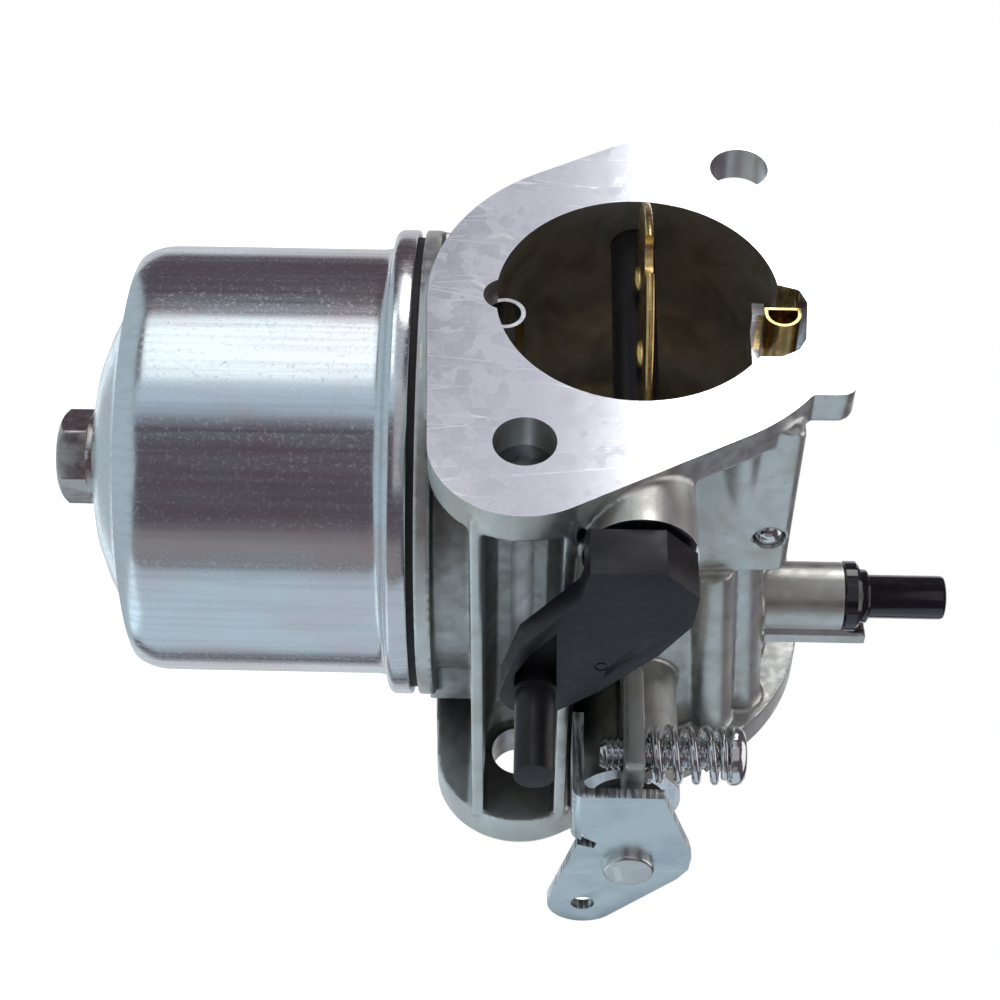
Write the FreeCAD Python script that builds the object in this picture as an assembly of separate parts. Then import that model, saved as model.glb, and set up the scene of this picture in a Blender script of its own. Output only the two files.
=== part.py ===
import FreeCAD, Part
import math
import os

# Float-bowl carburetor for a small engine, in millimetres.
# Origin: centre of the choke bore on the face of the intake flange.
# +X runs along both shafts to the lever side, +Y runs with the air towards the engine,
# +Z points up, away from the float bowl.

V = FreeCAD.Vector
X_AXIS = V(1, 0, 0)
Y_AXIS = V(0, 1, 0)
Z_AXIS = V(0, 0, 1)

# Air passage
BORE_R = 16.0                 # choke bore
VENTURI_R = 11.8              # narrowest place
THROTTLE_R = 14.0             # throttle bore
BODY_LENGTH = 63.3            # intake face to engine face
BARREL_WALL = 3.6             # metal round the choke bore
THROAT_START = 13.0           # end of the straight choke bore
THROAT_Y = 26.5               # where the venturi is narrowest
DIFFUSER_LENGTH = 12.5

# Flanges and studs
FLANGE_T = 4.4
REAR_FLANGE_T = 4.8
FLANGE_DISC_R = 23.7
LOBE_R = 10.4
STUD_PCD = 50.8
STUD_ANGLE = 29.3             # degrees from the X axis
STUD_HOLE_R = 3.46
STUD_CHANNEL_R = 4.3
CHANNEL_WEB_T = 1.4
CHANNEL_WEB_X = 31.4
CORNER_X = 14.6               # square corner of the intake flange
CORNER_Z = 23.5
CORNER_ROUND = 2.0
CORNER_BLOCK_X = 18.4
CORNER_BLOCK_Y = 26.0
CORNER_BLOCK_Z = 18.1

# Shafts
CHOKE_Y = 7.0
CHOKE_SHAFT_R = 2.6
CHOKE_BOSS_R = 6.2
CHOKE_BOSS_END = 32.0
THROTTLE_FROM_REAR = 15.8
THROTTLE_Z = 0.4              # the throttle shaft sits a little above the bore's centre
THROTTLE_SHAFT_R = 3.0
THROTTLE_BOSS_R = 6.3
THROTTLE_BOSS_END = 36.0
BLIND_BOSS_WALL = 4.6         # how far the blind bosses pass the barrel
RUN_CLEARANCE = 0.05          # radial, shaft in its bore
FIT_CLEARANCE = 0.02          # radial, pressed or screwed-in pieces
PLATE_CLEARANCE = 0.2         # radial, butterfly in its bore
THROTTLE_REST_TILT = 12.0     # degrees from square across the bore
CHOKE_PLATE_T = 0.9
CHOKE_PLATE_Z = 0.4           # underside of the plate in its slot
SLOT_CLEARANCE = 0.02
THROTTLE_PLATE_T = 1.1
CHOKE_NOTCH_R = 2.7           # clears the vent tube as the choke closes
CHOKE_NOTCH_X = 2.0

# Float bowl and what hangs in it
BOWL_Y = 28.8
BOWL_R = 25.9
BOWL_WALL = 0.8
BOWL_DEPTH = 35.9             # from the lip underside to the bottom
BOWL_SHOULDER = 11.2          # height of the domed bottom
DECK_Z = -24.7                # underside of the body ring
RING_T = 1.9
LIP_OVERHANG = 2.4            # lip over the bowl's wall
LIP_H = 2.8
LIP_GAP = 0.8                 # lip rim to body ring
POST_R = 5.6
BOLT_R = 4.0
BOLT_HEX = 10.2               # across flats
BOLT_TURN = -19.5             # degrees, first corner of the head
BOLT_HEAD_H = 4.4
WASHER_T = 0.5
FLOAT_GAP = 4.3               # float to the bowl's outside
FLOAT_BORE_R = 9.8
FLOAT_H = 13.0
FLOAT_DROP = 6.8              # float top below the deck
HINGE_FROM_CENTRE = 19.2
HINGE_DROP = 3.3
HINGE_PIN_R = 0.75
HINGE_HALF = 5.0              # half width of the float knuckle
EAR_T = 2.4
NEEDLE_X = -15.8
NEEDLE_TO_HINGE = 7.0
NEEDLE_R = 1.65
SEAT_R = 2.6
SEAT_L = 5.0
SEAT_BOSS_H = 2.5
FUEL_HOLE_R = 1.0
NOZZLE_R = 2.4
NOZZLE_HOLE_R = 1.2
JET_L = 3.2
PILOT_R = 1.6

# Fuel inlet
INLET_X = 10.0
INLET_Y = 41.0
INLET_BOSS_R = 4.2
INLET_BOSS_TOP = 26.9
INLET_COLLAR_R = 4.35
INLET_COLLAR_H = 2.1
INLET_STEP_R = 3.4
INLET_STEP_H = 1.2
INLET_TUBE_R = 2.7
INLET_TUBE_L = 9.4            # free length over the step
INLET_HOLE_R = 1.5

# Idle speed screw
IDLE_X = 38.0
IDLE_FROM_THROTTLE = 12.5     # screw axis to throttle shaft, over the stop tab
IDLE_R = 1.95
IDLE_HEAD_R = 3.4
IDLE_HEAD_H = 2.0
IDLE_TIP_Z = -3.3
LUG_LOW = -0.75
LUG_HIGH = 1.65
SPRING_R = 2.9                # centre of the wire
SPRING_WIRE_R = 0.5
SPRING_L = 9.6
SPRING_TURNS = 5.0

# Vent pocket and tube, air bleed and plugs
VENT_X = 1.2
VENT_HALF_W = 2.05
VENT_FLAT = 1.3
VENT_WALL = 0.35
VENT_START = 1.4
POCKET_DEPTH = 7.6
POCKET_WALL_T = 1.4
BLEED_R = 2.4
BLEED_WALL = 0.5
BLEED_X = -0.1
BLEED_Z = -15.0
BLEED_START = 3.0
BLEED_L = 7.0
PLUG_R = 1.8
PLUG_DEPTH = 3.6
PLUG_PROUD = 0.3
CUP_R = 5.0
CUP_X = -4.0
CUP_STEP = 0.8
CUP_T = 1.2

# Levers
LEVER_X = 43.75               # inner face of the throttle lever
LEVER_T = 1.25
TAB_L = 10.2                  # how far the stop tab reaches back to the body
TAB_W = 8.8
LINK_HOLE_R = 1.4
SWAGE_H = 1.1
CHOKE_HUB_X = 32.6            # inner face of the choke lever hub
CHOKE_ARM_X = 35.4
CHOKE_ARM_T = 3.2
CHOKE_POCKET = 2.2            # depth of the moulded pocket round the peg
PEG_R = 2.2
PEG_L = 10.6                  # over the face of the arm
PEG_ROOT_WALL = 0.5           # extra radius of the peg's root, up to the arm's face
PEG_Y = 16.0                  # from the choke shaft
PEG_Z = -10.8

# Derived places
BARREL_R = BORE_R + BARREL_WALL
THROTTLE_Y = BODY_LENGTH - THROTTLE_FROM_REAR
IDLE_Y = THROTTLE_Y - IDLE_FROM_THROTTLE
LIP_R = BOWL_R + LIP_OVERHANG
FLOAT_R = BOWL_R - FLOAT_GAP
REAR_FACE_Y = BODY_LENGTH - REAR_FLANGE_T
STUD_X = STUD_PCD / 2 * math.cos(math.radians(STUD_ANGLE))
STUD_Z = STUD_PCD / 2 * math.sin(math.radians(STUD_ANGLE))
LIP_TOP = DECK_Z - LIP_GAP
LIP_LOW = LIP_TOP - LIP_H
BOWL_LOW = LIP_LOW - BOWL_DEPTH
POST_LOW = BOWL_LOW + BOWL_WALL
BOLT_TOP = POST_LOW + 9.4
JET_LOW = BOLT_TOP + 2.8
FLOAT_TOP = DECK_Z - FLOAT_DROP
HINGE_Y = BOWL_Y + HINGE_FROM_CENTRE
HINGE_Z = DECK_Z - HINGE_DROP
NEEDLE_Y = HINGE_Y - NEEDLE_TO_HINGE
SEAT_LOW = DECK_Z - SEAT_BOSS_H
NEEDLE_LOW = FLOAT_TOP + 0.7
GALLERY_Z = THROTTLE_R + 3.2
BLIND_END = -(BARREL_R + BLIND_BOSS_WALL)
SPRING_SEAT_Z = LUG_HIGH
HEAD_SEAT_Z = SPRING_SEAT_Z + SPRING_L
VENT_Z = BORE_R + 0.4
VENT_L = POCKET_DEPTH + 5 - VENT_START
CORNER_PLUG = V(CORNER_BLOCK_X, 20.0, 15.6)
CUP_Y = THROTTLE_Y + 3.5
CUP_Z = BARREL_R - 0.5
CUP_DISH_R = 14.0


def cyl(radius, length, x, y, z, direction):
    return Part.makeCylinder(radius, length, V(x, y, z), direction)


def box(x0, x1, y0, y1, z0, z1):
    return Part.makeBox(x1 - x0, y1 - y0, z1 - z0, V(x0, y0, z0))


def merged(first, others):
    return first.multiFuse(others).removeSplitter()


def save(name, shape):
    shape.exportStep("parts/" + name + ".step")


def hull_face(centre_a, radius_a, centre_b, radius_b):
    """Face round two circles in the XZ plane, with their outer tangents."""
    gap = centre_b - centre_a
    along = math.atan2(gap.z, gap.x)
    spread = math.acos((radius_a - radius_b) / gap.Length)

    def at(centre, radius, angle):
        return centre + V(math.cos(angle), 0, math.sin(angle)) * radius

    a_up = at(centre_a, radius_a, along + spread)
    a_down = at(centre_a, radius_a, along - spread)
    b_up = at(centre_b, radius_b, along + spread)
    b_down = at(centre_b, radius_b, along - spread)
    edges = [
        Part.LineSegment(a_up, b_up).toShape(),
        Part.Arc(b_up, at(centre_b, radius_b, along), b_down).toShape(),
        Part.LineSegment(b_down, a_down).toShape(),
        Part.Arc(a_down, at(centre_a, radius_a, along + math.pi), a_up).toShape(),
    ]
    return Part.Face(Part.Wire(Part.__sortEdges__(edges)))


def plate_from_points(points, direction):
    """Solid prism from a closed list of corner points."""
    return Part.Face(Part.makePolygon(points + [points[0]])).extrude(direction)


def rounded(shape, radius, chosen):
    """Fillet the edges for which chosen(edge) is true."""
    edges = [edge for edge in shape.Edges if chosen(edge)]
    return shape.makeFillet(radius, edges)


def stud_places():
    return [V(STUD_X, 0, -STUD_Z), V(-STUD_X, 0, STUD_Z)]


# Casting

def flange(y_low, thickness, disc_r):
    centre = V(0, 0, 0)
    lobes = [hull_face(centre, disc_r, stud, LOBE_R) for stud in stud_places()]
    solids = [lobe.extrude(V(0, thickness, 0)) for lobe in lobes]
    plate = merged(solids[0], solids[1:])
    plate.translate(V(0, y_low, 0))
    return plate


def intake_flange():
    corner = box(-CORNER_X + 1.6, CORNER_X, 0, FLANGE_T, 0, CORNER_Z)
    corner = rounded(corner, CORNER_ROUND, lambda edge: edge.BoundBox.ZMin > CORNER_Z - 0.1
                     and edge.BoundBox.XMin > CORNER_X - 0.1)
    return merged(flange(0, FLANGE_T, FLANGE_DISC_R), [corner])


def corner_block():
    """Squarish block over the barrel that carries the vent passage."""
    block = box(-6, CORNER_BLOCK_X, FLANGE_T / 2, CORNER_BLOCK_Y, 0, CORNER_BLOCK_Z)
    return rounded(block, 1.2, lambda edge: edge.BoundBox.ZMin > CORNER_BLOCK_Z - 0.1)


def bowl_mount():
    """Ring for the bowl, the round wall over it and the post in its middle."""
    ring = cyl(LIP_R, RING_T, 0, BOWL_Y, DECK_Z, Z_AXIS)
    wall = cyl(LIP_R - 3.3, 8.0, 0, BOWL_Y, DECK_Z, Z_AXIS)
    pedestal = box(-19.0, 19.0, 8.0, 52.0, DECK_Z + 1, -2)
    post = cyl(POST_R, DECK_Z - POST_LOW + 1, 0, BOWL_Y, POST_LOW, Z_AXIS)
    seat_boss = cyl(SEAT_R + 1.3, SEAT_BOSS_H + 1, NEEDLE_X, NEEDLE_Y, SEAT_LOW, Z_AXIS)
    pilot_boss = cyl(PILOT_R + 1.5, 2.5, 9.0, BOWL_Y - 10, DECK_Z - 1.5, Z_AXIS)
    return [ring, wall, pedestal, post, seat_boss, pilot_boss] + hinge_ears()


def hinge_ears():
    ears = []
    for side in (-1, 1):
        x_mid = side * (HINGE_HALF + 0.4 + EAR_T / 2)
        low = HINGE_Z - 2.0
        block = box(x_mid - EAR_T / 2, x_mid + EAR_T / 2, HINGE_Y - 2, HINGE_Y + 2, low + 1, DECK_Z + 1)
        end = cyl(2.0, EAR_T, x_mid - EAR_T / 2, HINGE_Y, HINGE_Z, X_AXIS)
        ears.append(block.cut(box(-99, 99, -99, 99, low, HINGE_Z)))
        ears.append(end)
    return ears


def stud_channel():
    """Open channel that lets the lower stud run from flange to flange."""
    low = -STUD_Z - STUD_CHANNEL_R - CHANNEL_WEB_T
    high = -STUD_Z + STUD_CHANNEL_R + CHANNEL_WEB_T
    block = box(10, CHANNEL_WEB_X, FLANGE_T / 2, REAR_FACE_Y + 1, low, high)
    cut_y = FLANGE_T
    cut_l = REAR_FACE_Y - FLANGE_T
    floor = cyl(STUD_CHANNEL_R, cut_l, STUD_X, cut_y, -STUD_Z, Y_AXIS)
    mouth = box(STUD_X, CHANNEL_WEB_X + 5, cut_y, cut_y + cut_l, -STUD_Z - STUD_CHANNEL_R,
                -STUD_Z + STUD_CHANNEL_R)
    return block.cut(floor.fuse(mouth))


def shaft_bosses():
    choke = cyl(CHOKE_BOSS_R, CHOKE_BOSS_END, 0, CHOKE_Y, 0, X_AXIS)
    choke_blind = cyl(CHOKE_BOSS_R - 1.2, -BLIND_END, BLIND_END, CHOKE_Y, 0, X_AXIS)
    throttle = cyl(THROTTLE_BOSS_R, THROTTLE_BOSS_END, 0, THROTTLE_Y, THROTTLE_Z, X_AXIS)
    throttle_blind = cyl(THROTTLE_BOSS_R - 1.0, -BLIND_END, BLIND_END, THROTTLE_Y, THROTTLE_Z, X_AXIS)
    return [choke, choke_blind, throttle, throttle_blind]


def idle_lug():
    reach = IDLE_X + IDLE_R + 2.6
    near_y = IDLE_Y - 4.2
    far_y = THROTTLE_Y - THROTTLE_SHAFT_R - 1.0
    lug = box(THROTTLE_BOSS_END - 7, reach, near_y, far_y, LUG_LOW, LUG_HIGH)
    lug = rounded(lug, far_y - near_y - 2.0, lambda edge: edge.BoundBox.ZLength > 1
                  and edge.BoundBox.XMin > reach - 0.1 and edge.BoundBox.YMin > far_y - 0.1)
    web = box(18, THROTTLE_BOSS_END - 3, THROTTLE_Y - 9, THROTTLE_Y, LUG_LOW, LUG_HIGH)
    return [lug, web]


def barrel_ribs():
    """Rounded ribs over the air and idle galleries, on the upper lever side."""
    ribs = []
    for low_angle, high_angle, start, radius in ((29, 37, 26.0, 2.6), (34, 52, FLANGE_T, 2.8)):
        reach = BARREL_R + 0.4
        first = V(reach * math.cos(math.radians(low_angle)), start, reach * math.sin(math.radians(low_angle)))
        last = V(reach * math.cos(math.radians(high_angle)), REAR_FACE_Y + 1,
                 reach * math.sin(math.radians(high_angle)))
        ribs.append(Part.makeCylinder(radius, (last - first).Length, first, last - first))
    return ribs


def fuel_boss():
    tower = cyl(INLET_BOSS_R, INLET_BOSS_TOP - 8, INLET_X, INLET_Y, 8, Z_AXIS)
    keeper = box(INLET_X - 2.6, INLET_X + 3.2, INLET_Y + INLET_COLLAR_R - 0.6, INLET_Y + INLET_COLLAR_R + 1.4,
                 14, INLET_BOSS_TOP + INLET_COLLAR_H + 1.3)
    collar_room = cyl(INLET_COLLAR_R + FIT_CLEARANCE, 20, INLET_X, INLET_Y, INLET_BOSS_TOP, Z_AXIS)
    riser = box(-BARREL_R, NEEDLE_X + 3.2, NEEDLE_Y - 3.4, NEEDLE_Y + 3.4, DECK_Z + 1, GALLERY_Z + 2.4)
    saddle = box(-BARREL_R, INLET_X, INLET_Y - 3.4, INLET_Y + 3.4, 0, GALLERY_Z + 2.4)
    return [tower, keeper.cut(collar_room), riser, saddle]


def throat():
    """Air passage: choke bore, venturi and throttle bore as one turned form."""
    diffuser_end = THROAT_Y + DIFFUSER_LENGTH
    rise = BORE_R - VENTURI_R
    curve_mid = V(VENTURI_R + rise * 0.38, (THROAT_START + THROAT_Y) / 2, 0)
    corners = [V(0, -1, 0), V(BORE_R, -1, 0), V(BORE_R, THROAT_START, 0)]
    tail = [V(VENTURI_R, THROAT_Y, 0), V(THROTTLE_R, diffuser_end, 0), V(THROTTLE_R, BODY_LENGTH + 1, 0),
            V(0, BODY_LENGTH + 1, 0), V(0, -1, 0)]
    edges = [Part.LineSegment(corners[i], corners[i + 1]).toShape() for i in range(2)]
    edges.append(Part.Arc(corners[2], curve_mid, tail[0]).toShape())
    edges += [Part.LineSegment(tail[i], tail[i + 1]).toShape() for i in range(4)]
    return Part.Face(Part.Wire(edges)).revolve(V(0, 0, 0), Y_AXIS, 360)


def vent_pocket():
    outline = [(-2.3, -3.5), (-2.3, 0.0), (-1.6, 2.2), (0.4, 3.0), (6.2, 2.5), (7.9, 1.6), (9.0, -0.4),
               (9.0, -3.5)]
    points = [V(x, -1, BORE_R + z) for x, z in outline]
    return plate_from_points(points, V(0, POCKET_DEPTH + 1, 0))


def pocket_wall():
    """Thin wall between the vent pocket and the air stream."""
    low = BORE_R - 2.6
    wall = box(-4.2, 6.2, 4.8, POCKET_DEPTH + 4, low, low + POCKET_WALL_T)
    root = box(-4.2, 6.2, POCKET_DEPTH, POCKET_DEPTH + 4, low, BORE_R + 2)
    return [wall, root]


def vent_profile(grow, y_low, length):
    """D-shaped prism: flat side towards -X, round side towards +X."""
    half = VENT_HALF_W + grow
    flat = VENT_X - VENT_FLAT - grow
    low = V(flat, y_low, VENT_Z - half)
    high = V(flat, y_low, VENT_Z + half)
    mid_low = V(VENT_X - 0.4, y_low, VENT_Z - half)
    mid_high = V(VENT_X - 0.4, y_low, VENT_Z + half)
    crown = V(VENT_X - 0.4 + half, y_low, VENT_Z)
    edges = [
        Part.LineSegment(low, high).toShape(),
        Part.LineSegment(high, mid_high).toShape(),
        Part.Arc(mid_high, crown, mid_low).toShape(),
        Part.LineSegment(mid_low, low).toShape(),
    ]
    return Part.Face(Part.Wire(edges)).extrude(V(0, length, 0))


def casting_cuts():
    cuts = [vent_pocket()]
    for stud in stud_places():
        cuts.append(cyl(STUD_HOLE_R, BODY_LENGTH + 2, stud.x, -1, stud.z, Y_AXIS))
    choke_l = CHOKE_BOSS_END - BLIND_END - 1.8
    cuts.append(cyl(CHOKE_SHAFT_R + RUN_CLEARANCE, choke_l, BLIND_END + 1.8, CHOKE_Y, 0, X_AXIS))
    cuts.append(cyl(CHOKE_SHAFT_R + 1.4, 2.4, CHOKE_BOSS_END - 2.4, CHOKE_Y, 0, X_AXIS))
    throttle_l = THROTTLE_BOSS_END - BLIND_END + 1
    bore_r = THROTTLE_SHAFT_R + RUN_CLEARANCE
    cuts.append(cyl(bore_r, throttle_l, BLIND_END - 1, THROTTLE_Y, THROTTLE_Z, X_AXIS))
    cuts.append(cyl(THROTTLE_SHAFT_R + 1.5, 8.0, THROTTLE_BOSS_END - 8.0, THROTTLE_Y, THROTTLE_Z, X_AXIS))
    cuts.append(cyl(THROTTLE_SHAFT_R + 0.8, 2.2, BLIND_END, THROTTLE_Y, THROTTLE_Z, X_AXIS))
    cuts.append(cyl(IDLE_R + RUN_CLEARANCE, 9, IDLE_X, IDLE_Y, LUG_LOW - 3, Z_AXIS))
    cuts.append(cyl(BLEED_R + FIT_CLEARANCE, BLEED_START + BLEED_L + 1, BLEED_X, -1, BLEED_Z, Y_AXIS))
    cuts.append(vent_profile(FIT_CLEARANCE, POCKET_DEPTH - 1, 6))
    cuts.append(cyl(PLUG_R + FIT_CLEARANCE, 12, CORNER_PLUG.x - 11.9, CORNER_PLUG.y, CORNER_PLUG.z, X_AXIS))
    cuts.append(cyl(CUP_R, 4, CUP_X, CUP_Y, CUP_Z, Z_AXIS))
    cuts.append(cyl(CUP_R - CUP_STEP, 6, CUP_X, CUP_Y, CUP_Z - 1.4, Z_AXIS))
    return cuts + fuel_cuts() + post_cuts()


def fuel_cuts():
    down = cyl(INLET_TUBE_R - 0.2 + FIT_CLEARANCE, 30, INLET_X, INLET_Y, INLET_BOSS_TOP - 6, Z_AXIS)
    feed = cyl(INLET_HOLE_R, INLET_BOSS_TOP - GALLERY_Z, INLET_X, INLET_Y, GALLERY_Z, Z_AXIS)
    gallery = cyl(FUEL_HOLE_R, INLET_X + BARREL_R + 2, -BARREL_R - 2, INLET_Y, GALLERY_Z, X_AXIS)
    mouth = cyl(PLUG_R + FIT_CLEARANCE, PLUG_DEPTH + 2, -BARREL_R - 2, INLET_Y, GALLERY_Z, X_AXIS)
    drop = cyl(FUEL_HOLE_R, GALLERY_Z - SEAT_LOW, NEEDLE_X, NEEDLE_Y, SEAT_LOW, Z_AXIS)
    seat = cyl(SEAT_R + FIT_CLEARANCE, SEAT_L + 1, NEEDLE_X, NEEDLE_Y, SEAT_LOW - 1, Z_AXIS)
    return [down, feed, gallery, mouth, drop, seat]


def post_cuts():
    thread = cyl(BOLT_R + FIT_CLEARANCE, BOLT_TOP - POST_LOW + 2, 0, BOWL_Y, POST_LOW - 1, Z_AXIS)
    nozzle = cyl(NOZZLE_R + FIT_CLEARANCE, -BOLT_TOP, 0, BOWL_Y, BOLT_TOP, Z_AXIS)
    well = cyl(1.2, 2 * POST_R + 2, -POST_R - 1, BOWL_Y, BOLT_TOP + 2.0, X_AXIS)
    pilot = cyl(PILOT_R + FIT_CLEARANCE, 9, 9.0, BOWL_Y - 10, DECK_Z - 2, Z_AXIS)
    pins = cyl(HINGE_PIN_R + FIT_CLEARANCE, 30, -15, HINGE_Y, HINGE_Z, X_AXIS)
    return [thread, nozzle, well, pilot, pins]


def carburetor_body():
    barrel = cyl(BARREL_R, BODY_LENGTH - 1, 0, 0.5, 0, Y_AXIS)
    rear = flange(REAR_FACE_Y, REAR_FLANGE_T, FLANGE_DISC_R + 0.3)
    solids = [intake_flange(), rear, corner_block(), stud_channel()]
    solids += bowl_mount() + shaft_bosses() + idle_lug() + barrel_ribs() + fuel_boss()
    body = merged(barrel, solids)
    body = body.cut(throat())
    body = merged(body, pocket_wall())
    for cut in casting_cuts():
        body = body.cut(cut)
    return body.removeSplitter()


# Float bowl

def bowl_shell(offset):
    """Turned form of the bowl, drawn in by offset on every side."""
    radius = BOWL_R - offset
    low = BOWL_LOW + offset
    top = LIP_TOP + 2
    knee = low + BOWL_SHOULDER - offset * 0.3
    start = V(0, BOWL_Y, low)
    flat_end = V(6.0, BOWL_Y, low)
    dome_mid = V(14.6 - offset * 0.3, BOWL_Y, low + 1.9)
    dome_end = V(radius - 3.3, BOWL_Y, low + 5.6)
    turn_mid = V(radius - 0.85, BOWL_Y, low + 8.3)
    wall_low = V(radius, BOWL_Y, knee)
    edges = [
        Part.LineSegment(start, flat_end).toShape(),
        Part.Arc(flat_end, dome_mid, dome_end).toShape(),
        Part.Arc(dome_end, turn_mid, wall_low).toShape(),
        Part.LineSegment(wall_low, V(radius, BOWL_Y, top)).toShape(),
        Part.LineSegment(V(radius, BOWL_Y, top), V(0, BOWL_Y, top)).toShape(),
        Part.LineSegment(V(0, BOWL_Y, top), start).toShape(),
    ]
    return Part.Face(Part.Wire(edges)).revolve(V(0, BOWL_Y, 0), Z_AXIS, 360)


def float_bowl():
    outer = bowl_shell(0).cut(cyl(60, 30, 0, BOWL_Y, LIP_LOW + BOWL_WALL, Z_AXIS))
    lip = cyl(LIP_R, LIP_H, 0, BOWL_Y, LIP_LOW, Z_AXIS)
    lip = rounded(lip, 0.7, lambda edge: edge.BoundBox.ZMax < LIP_LOW + 0.1 and edge.BoundBox.XLength > 9)
    lip = lip.cut(cyl(LIP_R - BOWL_WALL, LIP_H, 0, BOWL_Y, LIP_LOW + BOWL_WALL, Z_AXIS))
    bowl = merged(outer, [lip]).cut(bowl_shell(BOWL_WALL))
    return bowl.cut(cyl(BOLT_R + 0.25, 9, 0, BOWL_Y, BOWL_LOW - 4, Z_AXIS))


def bowl_gasket():
    high = DECK_Z - LIP_LOW - BOWL_WALL
    ring = cyl(LIP_R - BOWL_WALL - 0.1, high, 0, BOWL_Y, LIP_LOW + BOWL_WALL, Z_AXIS)
    return ring.cut(cyl(BOWL_R - BOWL_WALL, high, 0, BOWL_Y, LIP_LOW + BOWL_WALL, Z_AXIS))


def bowl_bolt():
    seat = BOWL_LOW - WASHER_T
    corner_r = BOLT_HEX / math.sqrt(3)
    angles = [math.radians(BOLT_TURN + 60 * i) for i in range(6)]
    low = seat - BOLT_HEAD_H
    points = [V(corner_r * math.cos(a), BOWL_Y + corner_r * math.sin(a), low) for a in angles]
    head = plate_from_points(points, V(0, 0, BOLT_HEAD_H))
    low_r = BOLT_HEX / 2 * 0.93
    dome = Part.makeCone(low_r, low_r + 2 * BOLT_HEAD_H, BOLT_HEAD_H * 2, V(0, BOWL_Y, low), Z_AXIS)
    head = head.common(dome)
    dish = Part.makeCone(BOLT_HEX / 2 - 1.0, BOLT_HEX / 2 - 2.0, 0.8, V(0, BOWL_Y, low), Z_AXIS)
    shank = cyl(BOLT_R, BOLT_TOP - seat, 0, BOWL_Y, seat, Z_AXIS)
    return merged(head.cut(dish), [shank])


def bowl_bolt_washer():
    ring = cyl(BOLT_HEX / 2 + 0.4, WASHER_T, 0, BOWL_Y, BOWL_LOW - WASHER_T, Z_AXIS)
    return ring.cut(cyl(BOLT_R + 0.1, WASHER_T, 0, BOWL_Y, BOWL_LOW - WASHER_T, Z_AXIS))


# Float, needle and jets

def float_body():
    ring = cyl(FLOAT_R, FLOAT_H, 0, BOWL_Y, FLOAT_TOP - FLOAT_H, Z_AXIS)
    ring = ring.cut(cyl(FLOAT_BORE_R, FLOAT_H, 0, BOWL_Y, FLOAT_TOP - FLOAT_H, Z_AXIS))
    ring = rounded(ring, 1.0, lambda edge: edge.BoundBox.ZLength < 0.1)
    arm = box(-HINGE_HALF, HINGE_HALF, HINGE_Y - 4.0, HINGE_Y, FLOAT_TOP - 1, HINGE_Z + 1.2)
    knuckle = cyl(1.7, 2 * HINGE_HALF, -HINGE_HALF, HINGE_Y, HINGE_Z, X_AXIS)
    pad = cyl(2.6, NEEDLE_LOW - FLOAT_TOP + 0.95, NEEDLE_X, NEEDLE_Y, FLOAT_TOP - 1, Z_AXIS)
    pin_hole = cyl(HINGE_PIN_R + RUN_CLEARANCE, 40, -20, HINGE_Y, HINGE_Z, X_AXIS)
    return merged(ring, [arm, knuckle, pad]).cut(pin_hole)


def float_hinge_pin():
    half = HINGE_HALF + 0.4 + EAR_T + 0.6
    return cyl(HINGE_PIN_R, 2 * half, -half, HINGE_Y, HINGE_Z, X_AXIS)


def inlet_seat():
    body = cyl(SEAT_R, SEAT_L, NEEDLE_X, NEEDLE_Y, SEAT_LOW, Z_AXIS)
    hole = cyl(FUEL_HOLE_R, SEAT_L, NEEDLE_X, NEEDLE_Y, SEAT_LOW, Z_AXIS)
    guide = cyl(NEEDLE_R + 0.15, SEAT_L - 1.6, NEEDLE_X, NEEDLE_Y, SEAT_LOW, Z_AXIS)
    return body.cut(hole).cut(guide)


def inlet_needle():
    shoulder = SEAT_LOW + SEAT_L - 2.9
    stem = cyl(NEEDLE_R, shoulder - NEEDLE_LOW, NEEDLE_X, NEEDLE_Y, NEEDLE_LOW, Z_AXIS)
    tip = Part.makeCone(NEEDLE_R, FUEL_HOLE_R - 0.15, 1.3 + 0.3, V(NEEDLE_X, NEEDLE_Y, shoulder), Z_AXIS)
    tip = tip.common(cyl(9, 1.25, NEEDLE_X, NEEDLE_Y, shoulder, Z_AXIS))
    groove = cyl(NEEDLE_R + 1, 0.6, NEEDLE_X, NEEDLE_Y, NEEDLE_LOW + 0.9, Z_AXIS)
    groove = groove.cut(cyl(NEEDLE_R - 0.5, 0.6, NEEDLE_X, NEEDLE_Y, NEEDLE_LOW + 0.9, Z_AXIS))
    return merged(stem, [tip]).cut(groove)


def needle_clip():
    low = NEEDLE_LOW + 1.0
    clip = cyl(NEEDLE_R + 0.6, 0.4, NEEDLE_X, NEEDLE_Y, low, Z_AXIS)
    clip = clip.cut(cyl(NEEDLE_R - 0.5 + FIT_CLEARANCE, 0.4, NEEDLE_X, NEEDLE_Y, low, Z_AXIS))
    return clip.cut(box(NEEDLE_X, NEEDLE_X + 5, NEEDLE_Y - 0.9, NEEDLE_Y + 0.9, low, low + 1))


def main_nozzle():
    low = JET_LOW + JET_L
    tip = -VENTURI_R + 5.2
    tube = cyl(NOZZLE_R, tip - low, 0, BOWL_Y, low, Z_AXIS)
    tube = tube.cut(cyl(NOZZLE_HOLE_R, tip - low, 0, BOWL_Y, low, Z_AXIS))
    for row in range(4):
        bleed = cyl(0.4, 2 * NOZZLE_R + 2, -NOZZLE_R - 1, BOWL_Y, low + 6 + 5 * row, X_AXIS)
        tube = tube.cut(bleed)
    return tube


def jet(radius, length, hole_r, x, y, low):
    body = cyl(radius, length, x, y, low, Z_AXIS).cut(cyl(hole_r, length, x, y, low, Z_AXIS))
    return body.cut(box(x - radius, x + radius, y - 0.35, y + 0.35, low, low + 0.8))


def main_jet():
    return jet(NOZZLE_R, JET_L, 0.5, 0, BOWL_Y, JET_LOW)


def pilot_jet():
    return jet(PILOT_R, 7.0, 0.4, 9.0, BOWL_Y - 10, DECK_Z - 1.5)


# Throttle

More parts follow.
